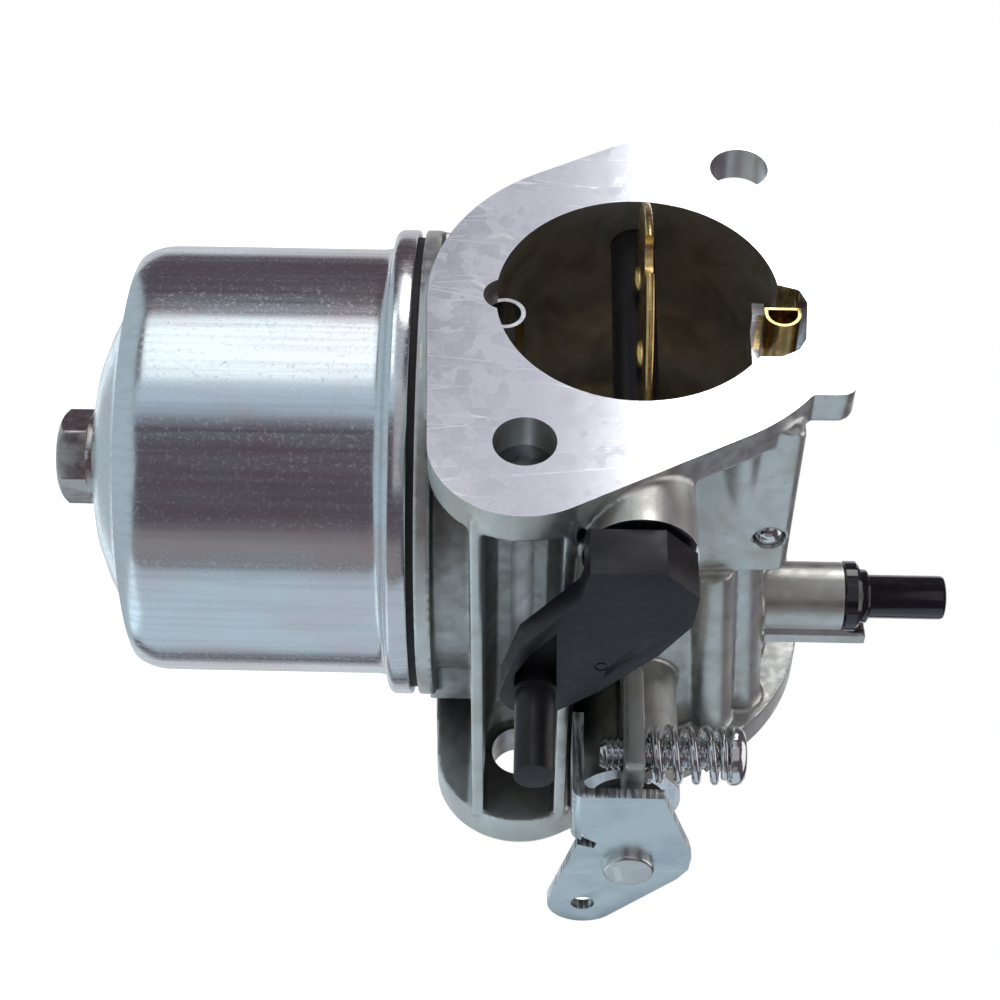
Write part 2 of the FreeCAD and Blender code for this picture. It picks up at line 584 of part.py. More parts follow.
def throttle_shaft():
    inner_end = BLIND_END + 2.4
    shaft = cyl(THROTTLE_SHAFT_R, LEVER_X - inner_end, inner_end, THROTTLE_Y, THROTTLE_Z, X_AXIS)
    neck = cyl(THROTTLE_SHAFT_R - 0.6, LEVER_T, LEVER_X, THROTTLE_Y, THROTTLE_Z, X_AXIS)
    swage = cyl(THROTTLE_SHAFT_R, SWAGE_H, LEVER_X + LEVER_T, THROTTLE_Y, THROTTLE_Z, X_AXIS)
    swage = rounded(swage, 0.5, lambda edge: edge.BoundBox.XMin > LEVER_X + LEVER_T + SWAGE_H - 0.01)
    shaft = merged(shaft, [neck, swage])
    seat = box(-THROTTLE_R + 0.1, THROTTLE_R - 0.1, -THROTTLE_PLATE_T / 2, 9, -9, 9)
    shaft = shaft.cut(placed_on_throttle(seat))
    return shaft.cut(placed_on_throttle(screw_holes(1.3)))


def placed_on_throttle(shape):
    """Turn a shape drawn square across the bore to the rest tilt of the throttle."""
    shape.rotate(V(0, 0, 0), X_AXIS, THROTTLE_REST_TILT)
    shape.translate(V(0, THROTTLE_Y, THROTTLE_Z))
    return shape


def screw_places():
    return [-THROTTLE_R * 0.42, THROTTLE_R * 0.42]


def screw_holes(radius):
    holes = [cyl(radius, 12, x, -6, 0, Y_AXIS) for x in screw_places()]
    return holes[0].fuse(holes[1])


def throttle_plate():
    off_centre = -THROTTLE_Z / math.cos(math.radians(THROTTLE_REST_TILT))
    disc = cyl(THROTTLE_R - PLATE_CLEARANCE, THROTTLE_PLATE_T, 0, -THROTTLE_PLATE_T / 2, off_centre, Y_AXIS)
    return placed_on_throttle(disc.cut(screw_holes(1.4)))


def throttle_plate_screws():
    screws = []
    for x in screw_places():
        stem = cyl(1.25, THROTTLE_SHAFT_R - 0.6 + THROTTLE_PLATE_T / 2, x, 0.6 - THROTTLE_SHAFT_R, 0, Y_AXIS)
        head = cyl(2.3, 1.2, x, THROTTLE_PLATE_T / 2, 0, Y_AXIS)
        head = head.cut(box(x - 2.4, x + 2.4, THROTTLE_PLATE_T / 2 + 0.6, 9, -0.3, 0.3))
        screws.append(placed_on_throttle(merged(stem, [head])))
    return Part.makeCompound(screws)


def throttle_lever():
    """Flat lever with a bent stop tab, a relief by the bend and a round link end."""
    outline = [(-14.1, -6.8), (-14.1, 3.4), (-13.3, 3.6), (-3.6, 6.8), (-1.8, 7.2), (0.8, 7.0), (3.0, 5.8)]
    link = V(LEVER_X, THROTTLE_Y + 8.9, THROTTLE_Z - 5.0)
    end_r = 4.2

    def on_end(degrees):
        angle = math.radians(degrees)
        return V(LEVER_X, link.y + end_r * math.cos(angle), link.z + end_r * math.sin(angle))

    def on_plate(y, z):
        return V(LEVER_X, THROTTLE_Y + y, THROTTLE_Z + z)

    relief = [(-4.2, -6.0), (-3.5, -4.1), (-4.6, -3.8), (-5.8, -5.4)]
    rim = [on_plate(y, z) for y, z in outline] + [on_end(46)]
    tail = [on_end(-108)] + [on_plate(y, z) for y, z in relief + [outline[0]]]
    edges = [Part.LineSegment(rim[i], rim[i + 1]).toShape() for i in range(len(rim) - 1)]
    edges.append(Part.Arc(on_end(46), on_end(-50), on_end(-108)).toShape())
    edges += [Part.LineSegment(tail[i], tail[i + 1]).toShape() for i in range(len(tail) - 1)]
    plate = Part.Face(Part.Wire(edges)).extrude(V(LEVER_T, 0, 0))
    low = THROTTLE_Z - 6.8
    tab_y = THROTTLE_Y - 14.1
    bend_r = 0.9
    tab = box(LEVER_X - TAB_L, LEVER_X + LEVER_T, tab_y, tab_y + TAB_W, low, low + LEVER_T)
    bend = box(LEVER_X - bend_r, LEVER_X, tab_y, tab_y + TAB_W, low + LEVER_T, low + LEVER_T + bend_r)
    bend = bend.cut(cyl(bend_r, TAB_W, LEVER_X - bend_r, tab_y, low + LEVER_T + bend_r, Y_AXIS))
    lever = merged(plate, [tab, bend])
    corner = box(LEVER_X, LEVER_X + LEVER_T, tab_y - 1, tab_y + TAB_W + 1, low, low + LEVER_T)
    lever = lever.cut(corner.cut(cyl(LEVER_T, TAB_W + 2, LEVER_X, tab_y - 1, low + LEVER_T, Y_AXIS)))
    lever = lever.cut(cyl(THROTTLE_SHAFT_R - 0.6, 9, LEVER_X - 3, THROTTLE_Y, THROTTLE_Z, X_AXIS))
    return lever.cut(cyl(LINK_HOLE_R, 9, LEVER_X - 3, link.y, link.z, X_AXIS))


def tube(outer, inner, length, x, y, z, direction):
    return cyl(outer, length, x, y, z, direction).cut(cyl(inner, length, x, y, z, direction))


def throttle_shaft_bushing():
    return tube(THROTTLE_SHAFT_R + 1.5 - FIT_CLEARANCE, THROTTLE_SHAFT_R + RUN_CLEARANCE, 5.6,
                THROTTLE_BOSS_END - 8.0, THROTTLE_Y, THROTTLE_Z, X_AXIS)


def throttle_shaft_seal():
    return tube(THROTTLE_SHAFT_R + 1.5 - FIT_CLEARANCE, THROTTLE_SHAFT_R + RUN_CLEARANCE, 2.0,
                THROTTLE_BOSS_END - 2.2, THROTTLE_Y, THROTTLE_Z, X_AXIS)


def throttle_end_plug():
    cup = cyl(THROTTLE_SHAFT_R + 0.8 - FIT_CLEARANCE, 2.0, BLIND_END, THROTTLE_Y, THROTTLE_Z, X_AXIS)
    return cup.cut(cyl(THROTTLE_SHAFT_R, 1.4, BLIND_END, THROTTLE_Y, THROTTLE_Z, X_AXIS))


def transition_plug():
    cup = cyl(CUP_R - FIT_CLEARANCE, CUP_T, CUP_X, CUP_Y, CUP_Z, Z_AXIS)
    return cup.cut(Part.makeSphere(CUP_DISH_R, V(CUP_X, CUP_Y, CUP_Z + CUP_DISH_R + 0.5)))


# Choke

def lever_face(x, corners, end_from=45, end_to=-110, end_r=3.9):
    """Face of the choke arm in the plane X = x, with a round end about the peg."""
    peg = V(x, CHOKE_Y + PEG_Y, PEG_Z)

    def on_end(degrees):
        angle = math.radians(degrees)
        return V(x, peg.y + end_r * math.cos(angle), peg.z + end_r * math.sin(angle))

    points = [on_end(end_to)] + [V(x, CHOKE_Y + y, z) for y, z in corners] + [on_end(end_from)]
    edges = [Part.LineSegment(points[i], points[i + 1]).toShape() for i in range(len(points) - 1)]
    edges.append(Part.Arc(on_end(end_from), on_end((end_from + end_to) / 2), on_end(end_to)).toShape())
    return Part.Face(Part.Wire(edges))


def choke_lever():
    """Lever, link peg and shaft, moulded in one piece."""
    inner_end = BLIND_END + 2.2
    shaft = cyl(CHOKE_SHAFT_R, CHOKE_HUB_X + 1 - inner_end, inner_end, CHOKE_Y, 0, X_AXIS)
    slot = box(-BORE_R + 0.1, BORE_R - 0.1, CHOKE_Y - 9, CHOKE_Y + 9, CHOKE_PLATE_Z - SLOT_CLEARANCE,
               CHOKE_PLATE_Z + CHOKE_PLATE_T + SLOT_CLEARANCE)
    face_x = CHOKE_ARM_X + CHOKE_ARM_T
    arm_corners = [(7.6, -12.6), (-0.6, -6.4), (-5.3, -5.5), (-5.3, 2.4), (-1.6, 5.9), (3.2, 5.5), (8.6, 2.1),
                   (15.2, -3.9)]
    arm = lever_face(CHOKE_ARM_X, arm_corners).extrude(V(CHOKE_ARM_T, 0, 0))
    hub_corners = [(-5.3, -5.5), (-5.3, 2.4), (-1.6, 5.9), (3.2, 5.5), (5.9, 2.1), (5.2, -5.0), (-1.8, -6.0)]
    hub_points = [V(CHOKE_HUB_X, CHOKE_Y + y, z) for y, z in hub_corners]
    hub = plate_from_points(hub_points, V(CHOKE_ARM_X - CHOKE_HUB_X, 0, 0))
    pocket_corners = [(12.2, -13.0), (8.3, -11.2), (5.0, -8.7), (PEG_Y, -8.5), (PEG_Y + 1.6, -9.2),
                      (PEG_Y + 1.6, -12.4), (PEG_Y, -13.2)]
    pocket_points = [V(face_x - CHOKE_POCKET, CHOKE_Y + y, z) for y, z in pocket_corners]
    pocket = plate_from_points(pocket_points, V(CHOKE_POCKET + 1, 0, 0))
    peg_y = CHOKE_Y + PEG_Y
    peg = cyl(PEG_R, PEG_L + CHOKE_POCKET, face_x - CHOKE_POCKET, peg_y, PEG_Z, X_AXIS)
    root = cyl(PEG_R + PEG_ROOT_WALL, CHOKE_POCKET, face_x - CHOKE_POCKET, peg_y, PEG_Z, X_AXIS)
    lever = merged(arm.cut(pocket), [shaft, hub, peg, root])
    return lever.cut(slot)


def choke_plate():
    radius = BORE_R - PLATE_CLEARANCE
    disc = cyl(radius, CHOKE_PLATE_T, 0, CHOKE_Y, CHOKE_PLATE_Z, Z_AXIS)
    notch = cyl(CHOKE_NOTCH_R, 3, CHOKE_NOTCH_X, CHOKE_Y - radius, -1, Z_AXIS)
    return disc.cut(notch)


def choke_shaft_seal():
    return tube(CHOKE_SHAFT_R + 1.4 - FIT_CLEARANCE, CHOKE_SHAFT_R + RUN_CLEARANCE, 2.2, CHOKE_BOSS_END - 2.4,
                CHOKE_Y, 0, X_AXIS)


# Small pieces in the casting

def fuel_inlet_fitting():
    low = INLET_BOSS_TOP - 5.8
    shank = cyl(INLET_TUBE_R - 0.2, 6, INLET_X, INLET_Y, low, Z_AXIS)
    collar = cyl(INLET_COLLAR_R, INLET_COLLAR_H, INLET_X, INLET_Y, INLET_BOSS_TOP, Z_AXIS)
    collar = rounded(collar, 0.4, lambda edge: edge.BoundBox.ZLength < 0.1)
    step = cyl(INLET_STEP_R, INLET_STEP_H, INLET_X, INLET_Y, INLET_BOSS_TOP + INLET_COLLAR_H, Z_AXIS)
    pipe_l = INLET_COLLAR_H + INLET_STEP_H + INLET_TUBE_L
    pipe = cyl(INLET_TUBE_R, pipe_l, INLET_X, INLET_Y, INLET_BOSS_TOP, Z_AXIS)
    hole = cyl(INLET_HOLE_R, 40, INLET_X, INLET_Y, low, Z_AXIS)
    return merged(shank, [collar, step, pipe]).cut(hole)


def bowl_vent_tube():
    outer = vent_profile(0, VENT_START, VENT_L)
    return outer.cut(vent_profile(-VENT_WALL, VENT_START, VENT_L))


def air_bleed_sleeve():
    return tube(BLEED_R, BLEED_R - BLEED_WALL, BLEED_L, BLEED_X, BLEED_START, BLEED_Z, Y_AXIS)


def passage_plugs():
    corner = Part.makeSphere(PLUG_R, CORNER_PLUG - V(PLUG_R - 0.3, 0, 0))
    gallery = Part.makeSphere(PLUG_R, V(-BARREL_R + PLUG_R - 0.3, INLET_Y, GALLERY_Z))
    return Part.makeCompound([corner, gallery])


# Idle speed screw

def idle_speed_screw():
    stem = cyl(IDLE_R, HEAD_SEAT_Z - IDLE_TIP_Z, IDLE_X, IDLE_Y, IDLE_TIP_Z, Z_AXIS)
    stem = stem.makeChamfer(0.6, [edge for edge in stem.Edges if edge.BoundBox.ZMax < IDLE_TIP_Z + 0.1])
    head = cyl(IDLE_HEAD_R, IDLE_HEAD_H, IDLE_X, IDLE_Y, HEAD_SEAT_Z, Z_AXIS)
    head = rounded(head, 0.9, lambda edge: edge.BoundBox.ZLength < 0.1
                   and edge.BoundBox.ZMin > HEAD_SEAT_Z + 1)
    top = HEAD_SEAT_Z + IDLE_HEAD_H
    screw = merged(stem, [head])
    for half_x, half_y in ((2.0, 0.35), (0.35, 2.0)):
        arm = box(-half_x, half_x, -half_y, half_y, top - 1.3, top + 1)
        arm.translate(V(IDLE_X, IDLE_Y, 0))
        screw = screw.cut(arm)
    return screw


def idle_speed_spring():
    """Open coil spring, wire swept along a helix."""
    gap = 0.03
    height = SPRING_L - 2 * SPRING_WIRE_R - 2 * gap
    helix = Part.makeHelix(height / SPRING_TURNS, height, SPRING_R)
    section = Part.Wire([Part.Circle(V(SPRING_R, 0, 0), Y_AXIS, SPRING_WIRE_R).toShape()])
    coil = Part.Wire(helix.Edges).makePipeShell([section], True, True)
    coil.translate(V(IDLE_X, IDLE_Y, SPRING_SEAT_Z + SPRING_WIRE_R + gap))
    return coil


NODES = {
    "carburetor_body": carburetor_body,
    "float_bowl": float_bowl,
    "bowl_gasket": bowl_gasket,
    "bowl_bolt": bowl_bolt,
    "bowl_bolt_washer": bowl_bolt_washer,
    "float": float_body,
    "float_hinge_pin": float_hinge_pin,
    "inlet_seat": inlet_seat,
    "inlet_needle": inlet_needle,
    "needle_clip": needle_clip,
    "main_nozzle": main_nozzle,
    "main_jet": main_jet,
    "pilot_jet": pilot_jet,
    "throttle_shaft": throttle_shaft,
    "throttle_plate": throttle_plate,
    "throttle_plate_screws": throttle_plate_screws,
    "throttle_lever": throttle_lever,
    "throttle_shaft_bushing": throttle_shaft_bushing,
    "throttle_shaft_seal": throttle_shaft_seal,
    "throttle_end_plug": throttle_end_plug,
    "transition_plug": transition_plug,
    "choke_lever": choke_lever,
    "choke_plate": choke_plate,
    "choke_shaft_seal": choke_shaft_seal,
    "fuel_inlet_fitting": fuel_inlet_fitting,
    "bowl_vent_tube": bowl_vent_tube,
    "air_bleed_sleeve": air_bleed_sleeve,
    "passage_plugs": passage_plugs,
    "idle_speed_screw": idle_speed_screw,
    "idle_speed_spring": idle_speed_spring,
}

os.makedirs("parts", exist_ok=True)
for node_name, make in NODES.items():
    save(node_name, make())
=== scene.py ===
"""Looks of a float-bowl carburetor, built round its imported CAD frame.

Every length in this file is in millimetres until a mesh is made, when it turns into metres.
+X is the lever side, +Y the engine side and +Z points away from the float bowl.
"""

import logging
import math
from dataclasses import dataclass, field
from enum import Enum
from typing import Callable, Iterable, Sequence

import bmesh
import bpy
from mathutils import Matrix, Vector

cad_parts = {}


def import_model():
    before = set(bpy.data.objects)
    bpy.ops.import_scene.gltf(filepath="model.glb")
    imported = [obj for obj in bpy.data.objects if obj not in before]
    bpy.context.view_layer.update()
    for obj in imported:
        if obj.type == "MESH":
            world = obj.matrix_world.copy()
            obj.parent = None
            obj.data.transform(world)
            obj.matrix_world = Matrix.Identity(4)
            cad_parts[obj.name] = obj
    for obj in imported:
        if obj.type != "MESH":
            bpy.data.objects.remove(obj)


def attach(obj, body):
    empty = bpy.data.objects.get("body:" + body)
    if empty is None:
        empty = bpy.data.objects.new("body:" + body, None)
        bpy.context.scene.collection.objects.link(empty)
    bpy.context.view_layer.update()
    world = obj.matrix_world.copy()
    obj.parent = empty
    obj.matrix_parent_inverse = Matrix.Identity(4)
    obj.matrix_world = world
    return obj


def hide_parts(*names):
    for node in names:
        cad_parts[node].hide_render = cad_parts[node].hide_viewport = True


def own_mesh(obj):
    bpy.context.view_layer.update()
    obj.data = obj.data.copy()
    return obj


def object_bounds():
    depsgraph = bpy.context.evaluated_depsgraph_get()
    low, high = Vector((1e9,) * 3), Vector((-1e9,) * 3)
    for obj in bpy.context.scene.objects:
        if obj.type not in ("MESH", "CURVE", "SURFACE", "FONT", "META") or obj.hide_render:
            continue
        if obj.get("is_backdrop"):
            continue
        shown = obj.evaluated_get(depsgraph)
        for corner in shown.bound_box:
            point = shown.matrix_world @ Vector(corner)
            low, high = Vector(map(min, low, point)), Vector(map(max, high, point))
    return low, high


LOG = logging.getLogger("carburetor")
MM = 0.001
Point2 = tuple[float, float]
Point3 = tuple[float, float, float]


class Axis(Enum):
    """Axis that a turned or extruded piece is made along."""

    X = 0
    Y = 1
    Z = 2


class Cut(Enum):
    """What a boolean does with its tools."""

    CUT = "DIFFERENCE"
    JOIN = "UNION"
    KEEP = "INTERSECT"


# Mesh making


def on_axis(axis: Axis, along: float, first: float, second: float) -> Vector:
    """Place a point by its height on an axis and its two other coordinates.

    Args:
        axis: The axis that along is measured on.
        along: Height on the axis.
        first: Coordinate on the next axis in the order X, Y, Z.
        second: Coordinate on the one left over, also in that order.

    Returns:
        The point in X, Y, Z order.
    """
    if axis is Axis.X:
        return Vector((along, first, second))
    if axis is Axis.Y:
        return Vector((first, along, second))
    return Vector((first, second, along))


def mesh_piece(name: str, points: Sequence[Vector], faces: Iterable[Sequence[int]]) -> bpy.types.Object:
    """Make a mesh object from points in millimetres, with its faces turned outwards.

    Args:
        name: Name of the piece.
        points: Corner points in millimetres.
        faces: Corner numbers of each face.

    Returns:
        The new object.
    """
    mesh = bpy.data.meshes.new(name)
    mesh.from_pydata([point * MM for point in points], [], [list(face) for face in faces])
    shaped = bmesh.new()
    shaped.from_mesh(mesh)
    bmesh.ops.recalc_face_normals(shaped, faces=shaped.faces)
    shaped.to_mesh(mesh)
    shaped.free()
    piece = bpy.data.objects.new(name, mesh)
    bpy.context.scene.collection.objects.link(piece)
    return piece


def lathe(name: str, profile: Sequence[Point2], centre: Point3, axis: Axis,
          steps: int = 96) -> bpy.types.Object:
    """Turn a profile round an axis.

    Args:
        name: Name of the piece.
        profile: Radius and height of each point. A profile that starts and ends on the axis is closed
            there, and any other is closed from its last point back to its first.
        centre: A point on the axis; heights count from it.
        axis: Direction of the axis.
        steps: How many flats go round.

    Returns:
        The turned piece.
    """
    points: list[Vector] = []
    rings: list[list[int]] = []
    middle = Vector(centre)
    for radius, height in profile:
        if radius < 1e-6:
            rings.append([len(points)])
            points.append(middle + on_axis(axis, height, 0, 0))
            continue
        rings.append(list(range(len(points), len(points) + steps)))
        for step in range(steps):
            turn = math.tau * step / steps
            points.append(middle + on_axis(axis, height, radius * math.cos(turn), radius * math.sin(turn)))
    faces: list[list[int]] = []
    ends_on_axis = len(rings[0]) == 1 and len(rings[-1]) == 1
    for low, high in zip(rings, rings[1:] if ends_on_axis else rings[1:] + rings[:1]):
        for step in range(steps):
            after = (step + 1) % steps
            corners = [low[step % len(low)], low[after % len(low)]]
            corners += [high[after % len(high)], high[step % len(high)]]
            corners = list(dict.fromkeys(corners))
            if len(corners) > 2:
                faces.append(corners)
    return mesh_piece(name, points, faces)


def rod(name: str, radius: float, low: float, high: float, centre: Point3, axis: Axis,
        steps: int = 96) -> bpy.types.Object:
    """Plain cylinder, used as a tool that fills or cuts."""
    return lathe(name, [(0, low), (radius, low), (radius, high), (0, high)], centre, axis, steps)


def prism(name: str, outline: Sequence[Point2], low: float, high: float, axis: Axis) -> bpy.types.Object:
    """Extrude a closed outline along an axis.

    Args:
        name: Name of the piece.
        outline: Corners, as the two coordinates that the axis leaves free.
        low: Where the extrusion starts.
        high: Where it ends.
        axis: Direction of the extrusion.

    Returns:
        The prism.
    """
    count = len(outline)
    points = [on_axis(axis, height, a, b) for height in (low, high) for a, b in outline]
    faces: list[list[int]] = [list(range(count)), list(range(2 * count - 1, count - 1, -1))]
    for step in range(count):
        after = (step + 1) % count
        faces.append([step, after, count + after, count + step])
    return mesh_piece(name, points, faces)


def block(name: str, low: Point3, high: Point3) -> bpy.types.Object:
    """Box between two corners, used as a tool."""
    outline = [(low[0], low[1]), (high[0], low[1]), (high[0], high[1]), (low[0], high[1])]
    return prism(name, outline, low[2], high[2], Axis.Z)


def rounded(outline: Sequence[Point2], radius: float, steps: int = 6) -> list[Point2]:
    """Round every corner of a closed outline with the same radius, as far as its sides allow.

    Args:
        outline: Corners of the outline.
        radius: Radius of the rounding.
        steps: Points on each rounding, less one.

    Returns:
        The outline with its corners replaced by arcs.
    """
    result: list[Point2] = []
    count = len(outline)
    for number in range(count):
        here = Vector(outline[number])
        back = Vector(outline[number - 1]) - here
        ahead = Vector(outline[(number + 1) % count]) - here
        half = back.angle(ahead) / 2
        reach = min(radius / math.tan(half), back.length * 0.48, ahead.length * 0.48)
        start = here + back.normalized() * reach
        end = here + ahead.normalized() * reach
        for step in range(steps + 1):
            share = step / steps
            point = start * (1 - share) ** 2 + here * 2 * share * (1 - share) + end * share ** 2
            result.append((point.x, point.y))
    return result


def hull_outline(circles: Sequence[tuple[Point2, float]], steps: int = 180) -> list[Point2]:
    """Outline that wraps several circles, found as the furthest point in each direction.

    Args:
        circles: Centre and radius of each circle.
        steps: Directions tried.

    Returns:
        The outline's points, anticlockwise.
    """
    outline: list[Point2] = []
    for step in range(steps):
        turn = math.tau * step / steps
        way = Vector((math.cos(turn), math.sin(turn)))
        centre, radius = max(circles, key=lambda circle: Vector(circle[0]).dot(way) + circle[1])
        point = Vector(centre) + way * radius
        if not outline or (Vector(outline[-1]) - point).length > 1e-4:
            outline.append((point.x, point.y))
    return outline


def applied(piece: bpy.types.Object) -> bpy.types.Object:
    """Turn a piece's modifiers into its mesh.

    Args:
        piece: The piece, with its modifiers set.

    Returns:
        The same piece, without modifiers.
    """
    bpy.context.view_layer.update()
    graph = bpy.context.evaluated_depsgraph_get()
    old = piece.data
    final = piece.evaluated_get(graph)
    mesh = bpy.data.meshes.new_from_object(final, preserve_all_data_layers=True, depsgraph=graph)
    piece.modifiers.clear()
    piece.data = mesh
    bpy.data.meshes.remove(old)
    return piece


def joined(name: str, pieces: Sequence[bpy.types.Object]) -> bpy.types.Object:
    """Put several meshes into one object without fusing them; the originals go.

    Args:
        name: Name of the result.
        pieces: The pieces, each with its own materials or none.

    Returns:
        One object with every mesh and every material.
    """
    made = bmesh.new()
    materials: list[bpy.types.Material] = []
    for piece in pieces:
        first_face = len(made.faces)
        made.from_mesh(piece.data)
        made.faces.ensure_lookup_table()
        own = list(piece.data.materials)
        for face in made.faces[first_face:]:
            if own:
                material = own[face.material_index]
                if material not in materials:
                    materials.append(material)
                face.material_index = materials.index(material)
    mesh = bpy.data.meshes.new(name)
    made.to_mesh(mesh)
    made.free()
    for material in materials:
        mesh.materials.append(material)
    for piece in pieces:
        discard(piece)
    result = bpy.data.objects.new(name, mesh)
    bpy.context.scene.collection.objects.link(result)
    return result


def discard(piece: bpy.types.Object) -> None:
    """Remove a piece and its mesh.

    Args:
        piece: The piece, which nothing else uses.
    """
    mesh = piece.data
    bpy.data.objects.remove(piece)
    bpy.data.meshes.remove(mesh)


def boolean(piece: bpy.types.Object, tools: Sequence[bpy.types.Object], cut: Cut) -> bpy.types.Object:
    """Cut a piece by closed tools, or fuse them to it, and remove the tools.

    Args:
        piece: The piece to work on.
        tools: Closed meshes, whose materials go to the faces that they make.
        cut: What to do.

    Returns:
        The piece.
    """
    for tool in tools:
        step = piece.modifiers.new("cut", "BOOLEAN")
        step.operation = cut.value
        step.solver = "MANIFOLD"
        step.material_mode = "TRANSFER"
        step.object = tool
        applied(piece)
        discard(tool)
    return piece


def from_node(node: str, name: str) -> bpy.types.Object:
    """Copy a CAD node's mesh as a closed mesh with shared corners.

    Args:
        node: The node's name.
        name: Name of the copy.

    Returns:
        The copy, without materials.
    """
    source = bpy.data.objects[node].data
    mesh = source.copy()
    mesh.name = name
    mesh.materials.clear()
    welded = bmesh.new()
    welded.from_mesh(mesh)
    bmesh.ops.remove_doubles(welded, verts=welded.verts, dist=1e-6)
    bmesh.ops.dissolve_degenerate(welded, dist=1e-7, edges=welded.edges)
    welded.to_mesh(mesh)
    welded.free()
    piece = bpy.data.objects.new(name, mesh)
    bpy.context.scene.collection.objects.link(piece)
    return piece


def soften(piece: bpy.types.Object, width: float, segments: int = 2, angle: float = 35) -> bpy.types.Object:
    """Round a piece's sharp edges by a small bevel.

    Args:
        piece: The piece.
        width: Width of the bevel in millimetres.
        segments: Faces across the bevel.
        angle: Edges that turn by more degrees than this are rounded.

    Returns:
        The piece, with the bevel applied.
    """
    flat = piece.modifiers.new("flat", "DECIMATE")
    flat.decimate_type = "DISSOLVE"
    flat.angle_limit = math.radians(0.6)
    edge = piece.modifiers.new("edge", "BEVEL")
    edge.width = width * MM
    edge.segments = segments
    edge.limit_method = "ANGLE"
    edge.angle_limit = math.radians(angle)
    edge.harden_normals = False
    edge.use_clamp_overlap = True
    return applied(piece)


def shade(piece: bpy.types.Object, angle: float = 30) -> bpy.types.Object:
    """Shade a piece smooth, apart from its sharp edges.

    Args:
        piece: The piece.
        angle: Edges that turn by more degrees than this stay sharp.

    Returns:
        The piece.
    """
    mesh = piece.data
    mesh.polygons.foreach_set("use_smooth", [True] * len(mesh.polygons))
    mesh.set_sharp_from_angle(angle=math.radians(angle))
    return piece


# Shader making


class Tree:
    """A short way to write a shader tree: nodes are added and linked in one call."""

    def __init__(self, tree: bpy.types.NodeTree) -> None:
        """Take the tree to write in."""
        self.tree = tree

    def node(self, kind: str, inputs: dict | None = None, **settings: object) -> bpy.types.Node:
        """Add a node.

        Args:
            kind: The node's type, without its ShaderNode prefix.
            inputs: Socket names or numbers, with a value or the socket to link from.
            settings: The node's own options.

        Returns:
            The node.
        """
        name = kind if kind.startswith("Node") else "ShaderNode" + kind
        node = self.tree.nodes.new(name)
        for key, value in settings.items():
            setattr(node, key, value)
        for key, value in (inputs or {}).items():
            self.feed(node.inputs[key], value)
        return node

    def feed(self, socket: bpy.types.NodeSocket, value: object) -> None:
        """Link a socket, or set its value when a plain one is given.

        Args:
            socket: The socket to feed.
            value: Another socket, or a plain value.
        """
        if isinstance(value, bpy.types.NodeSocket):
            self.tree.links.new(value, socket)
        else:
            socket.default_value = value

    def maths(self, operation: str, *values: object, clamp: bool = False) -> bpy.types.NodeSocket:
        """Add a Math node and hand out its result."""
        node = self.node("Math", dict(enumerate(values)), operation=operation, use_clamp=clamp)
        return node.outputs[0]

    def ramp(self, value: object, low: float, high: float, to_low: float = 0.0,
             to_high: float = 1.0) -> bpy.types.NodeSocket:
        """Map a value's range onto another one, smoothly and clamped.

        Args:
            value: The value, as a socket or a number.
            low: Where the range starts; it may lie above its end.
            high: Where it ends.
            to_low: What comes out at the start.
            to_high: What comes out at the end.

        Returns:
            The mapped value.
        """
        inputs = {0: value, 1: low, 2: high, 3: to_low, 4: to_high}
        node = self.node("MapRange", inputs, interpolation_type="SMOOTHSTEP")
        return node.outputs[0]

    def mix(self, share: object, first: object, second: object, blend: str = "MIX") -> bpy.types.NodeSocket:
        """Mix two colours."""
        node = self.node("Mix", {0: share, 6: first, 7: second}, data_type="RGBA", blend_type=blend)
        return node.outputs[2]

    def noise(self, place: object, scale: float, detail: float = 3.0, rough: float = 0.55,
              warp: float = 0.0) -> bpy.types.NodeSocket:
        """Add a noise texture and hand out its value."""
        inputs = {"Vector": place, "Scale": scale, "Detail": detail, "Roughness": rough, "Distortion": warp}
        return self.node("TexNoise", inputs).outputs[0]

    def stretched(self, factors: Point3) -> bpy.types.NodeSocket:
        """Object coordinates, scaled by a factor on each axis."""
        place = self.node("TexCoord").outputs["Object"]
        return self.node("Mapping", {"Vector": place, "Scale": factors}, vector_type="POINT").outputs[0]


GroupParts = tuple[bpy.types.NodeTree, Tree, bpy.types.Node, bpy.types.Node]


def new_group(name: str, inputs: dict[str, float], outputs: Sequence[str]) -> GroupParts:
    """Start a shader node group.

    Args:
        name: The group's name.
        inputs: Name and default of each number that goes in.
        outputs: Names of the numbers that come out.

    Returns:
        The group, its writer, and its input and output nodes.
    """
    group = bpy.data.node_groups.new(name, "ShaderNodeTree")
    for key, value in inputs.items():
        socket = group.interface.new_socket(key, in_out="INPUT", socket_type="NodeSocketFloat")
        socket.default_value = value
    for key in outputs:
        group.interface.new_socket(key, in_out="OUTPUT", socket_type="NodeSocketFloat")
    return group, Tree(group), group.nodes.new("NodeGroupInput"), group.nodes.new("NodeGroupOutput")


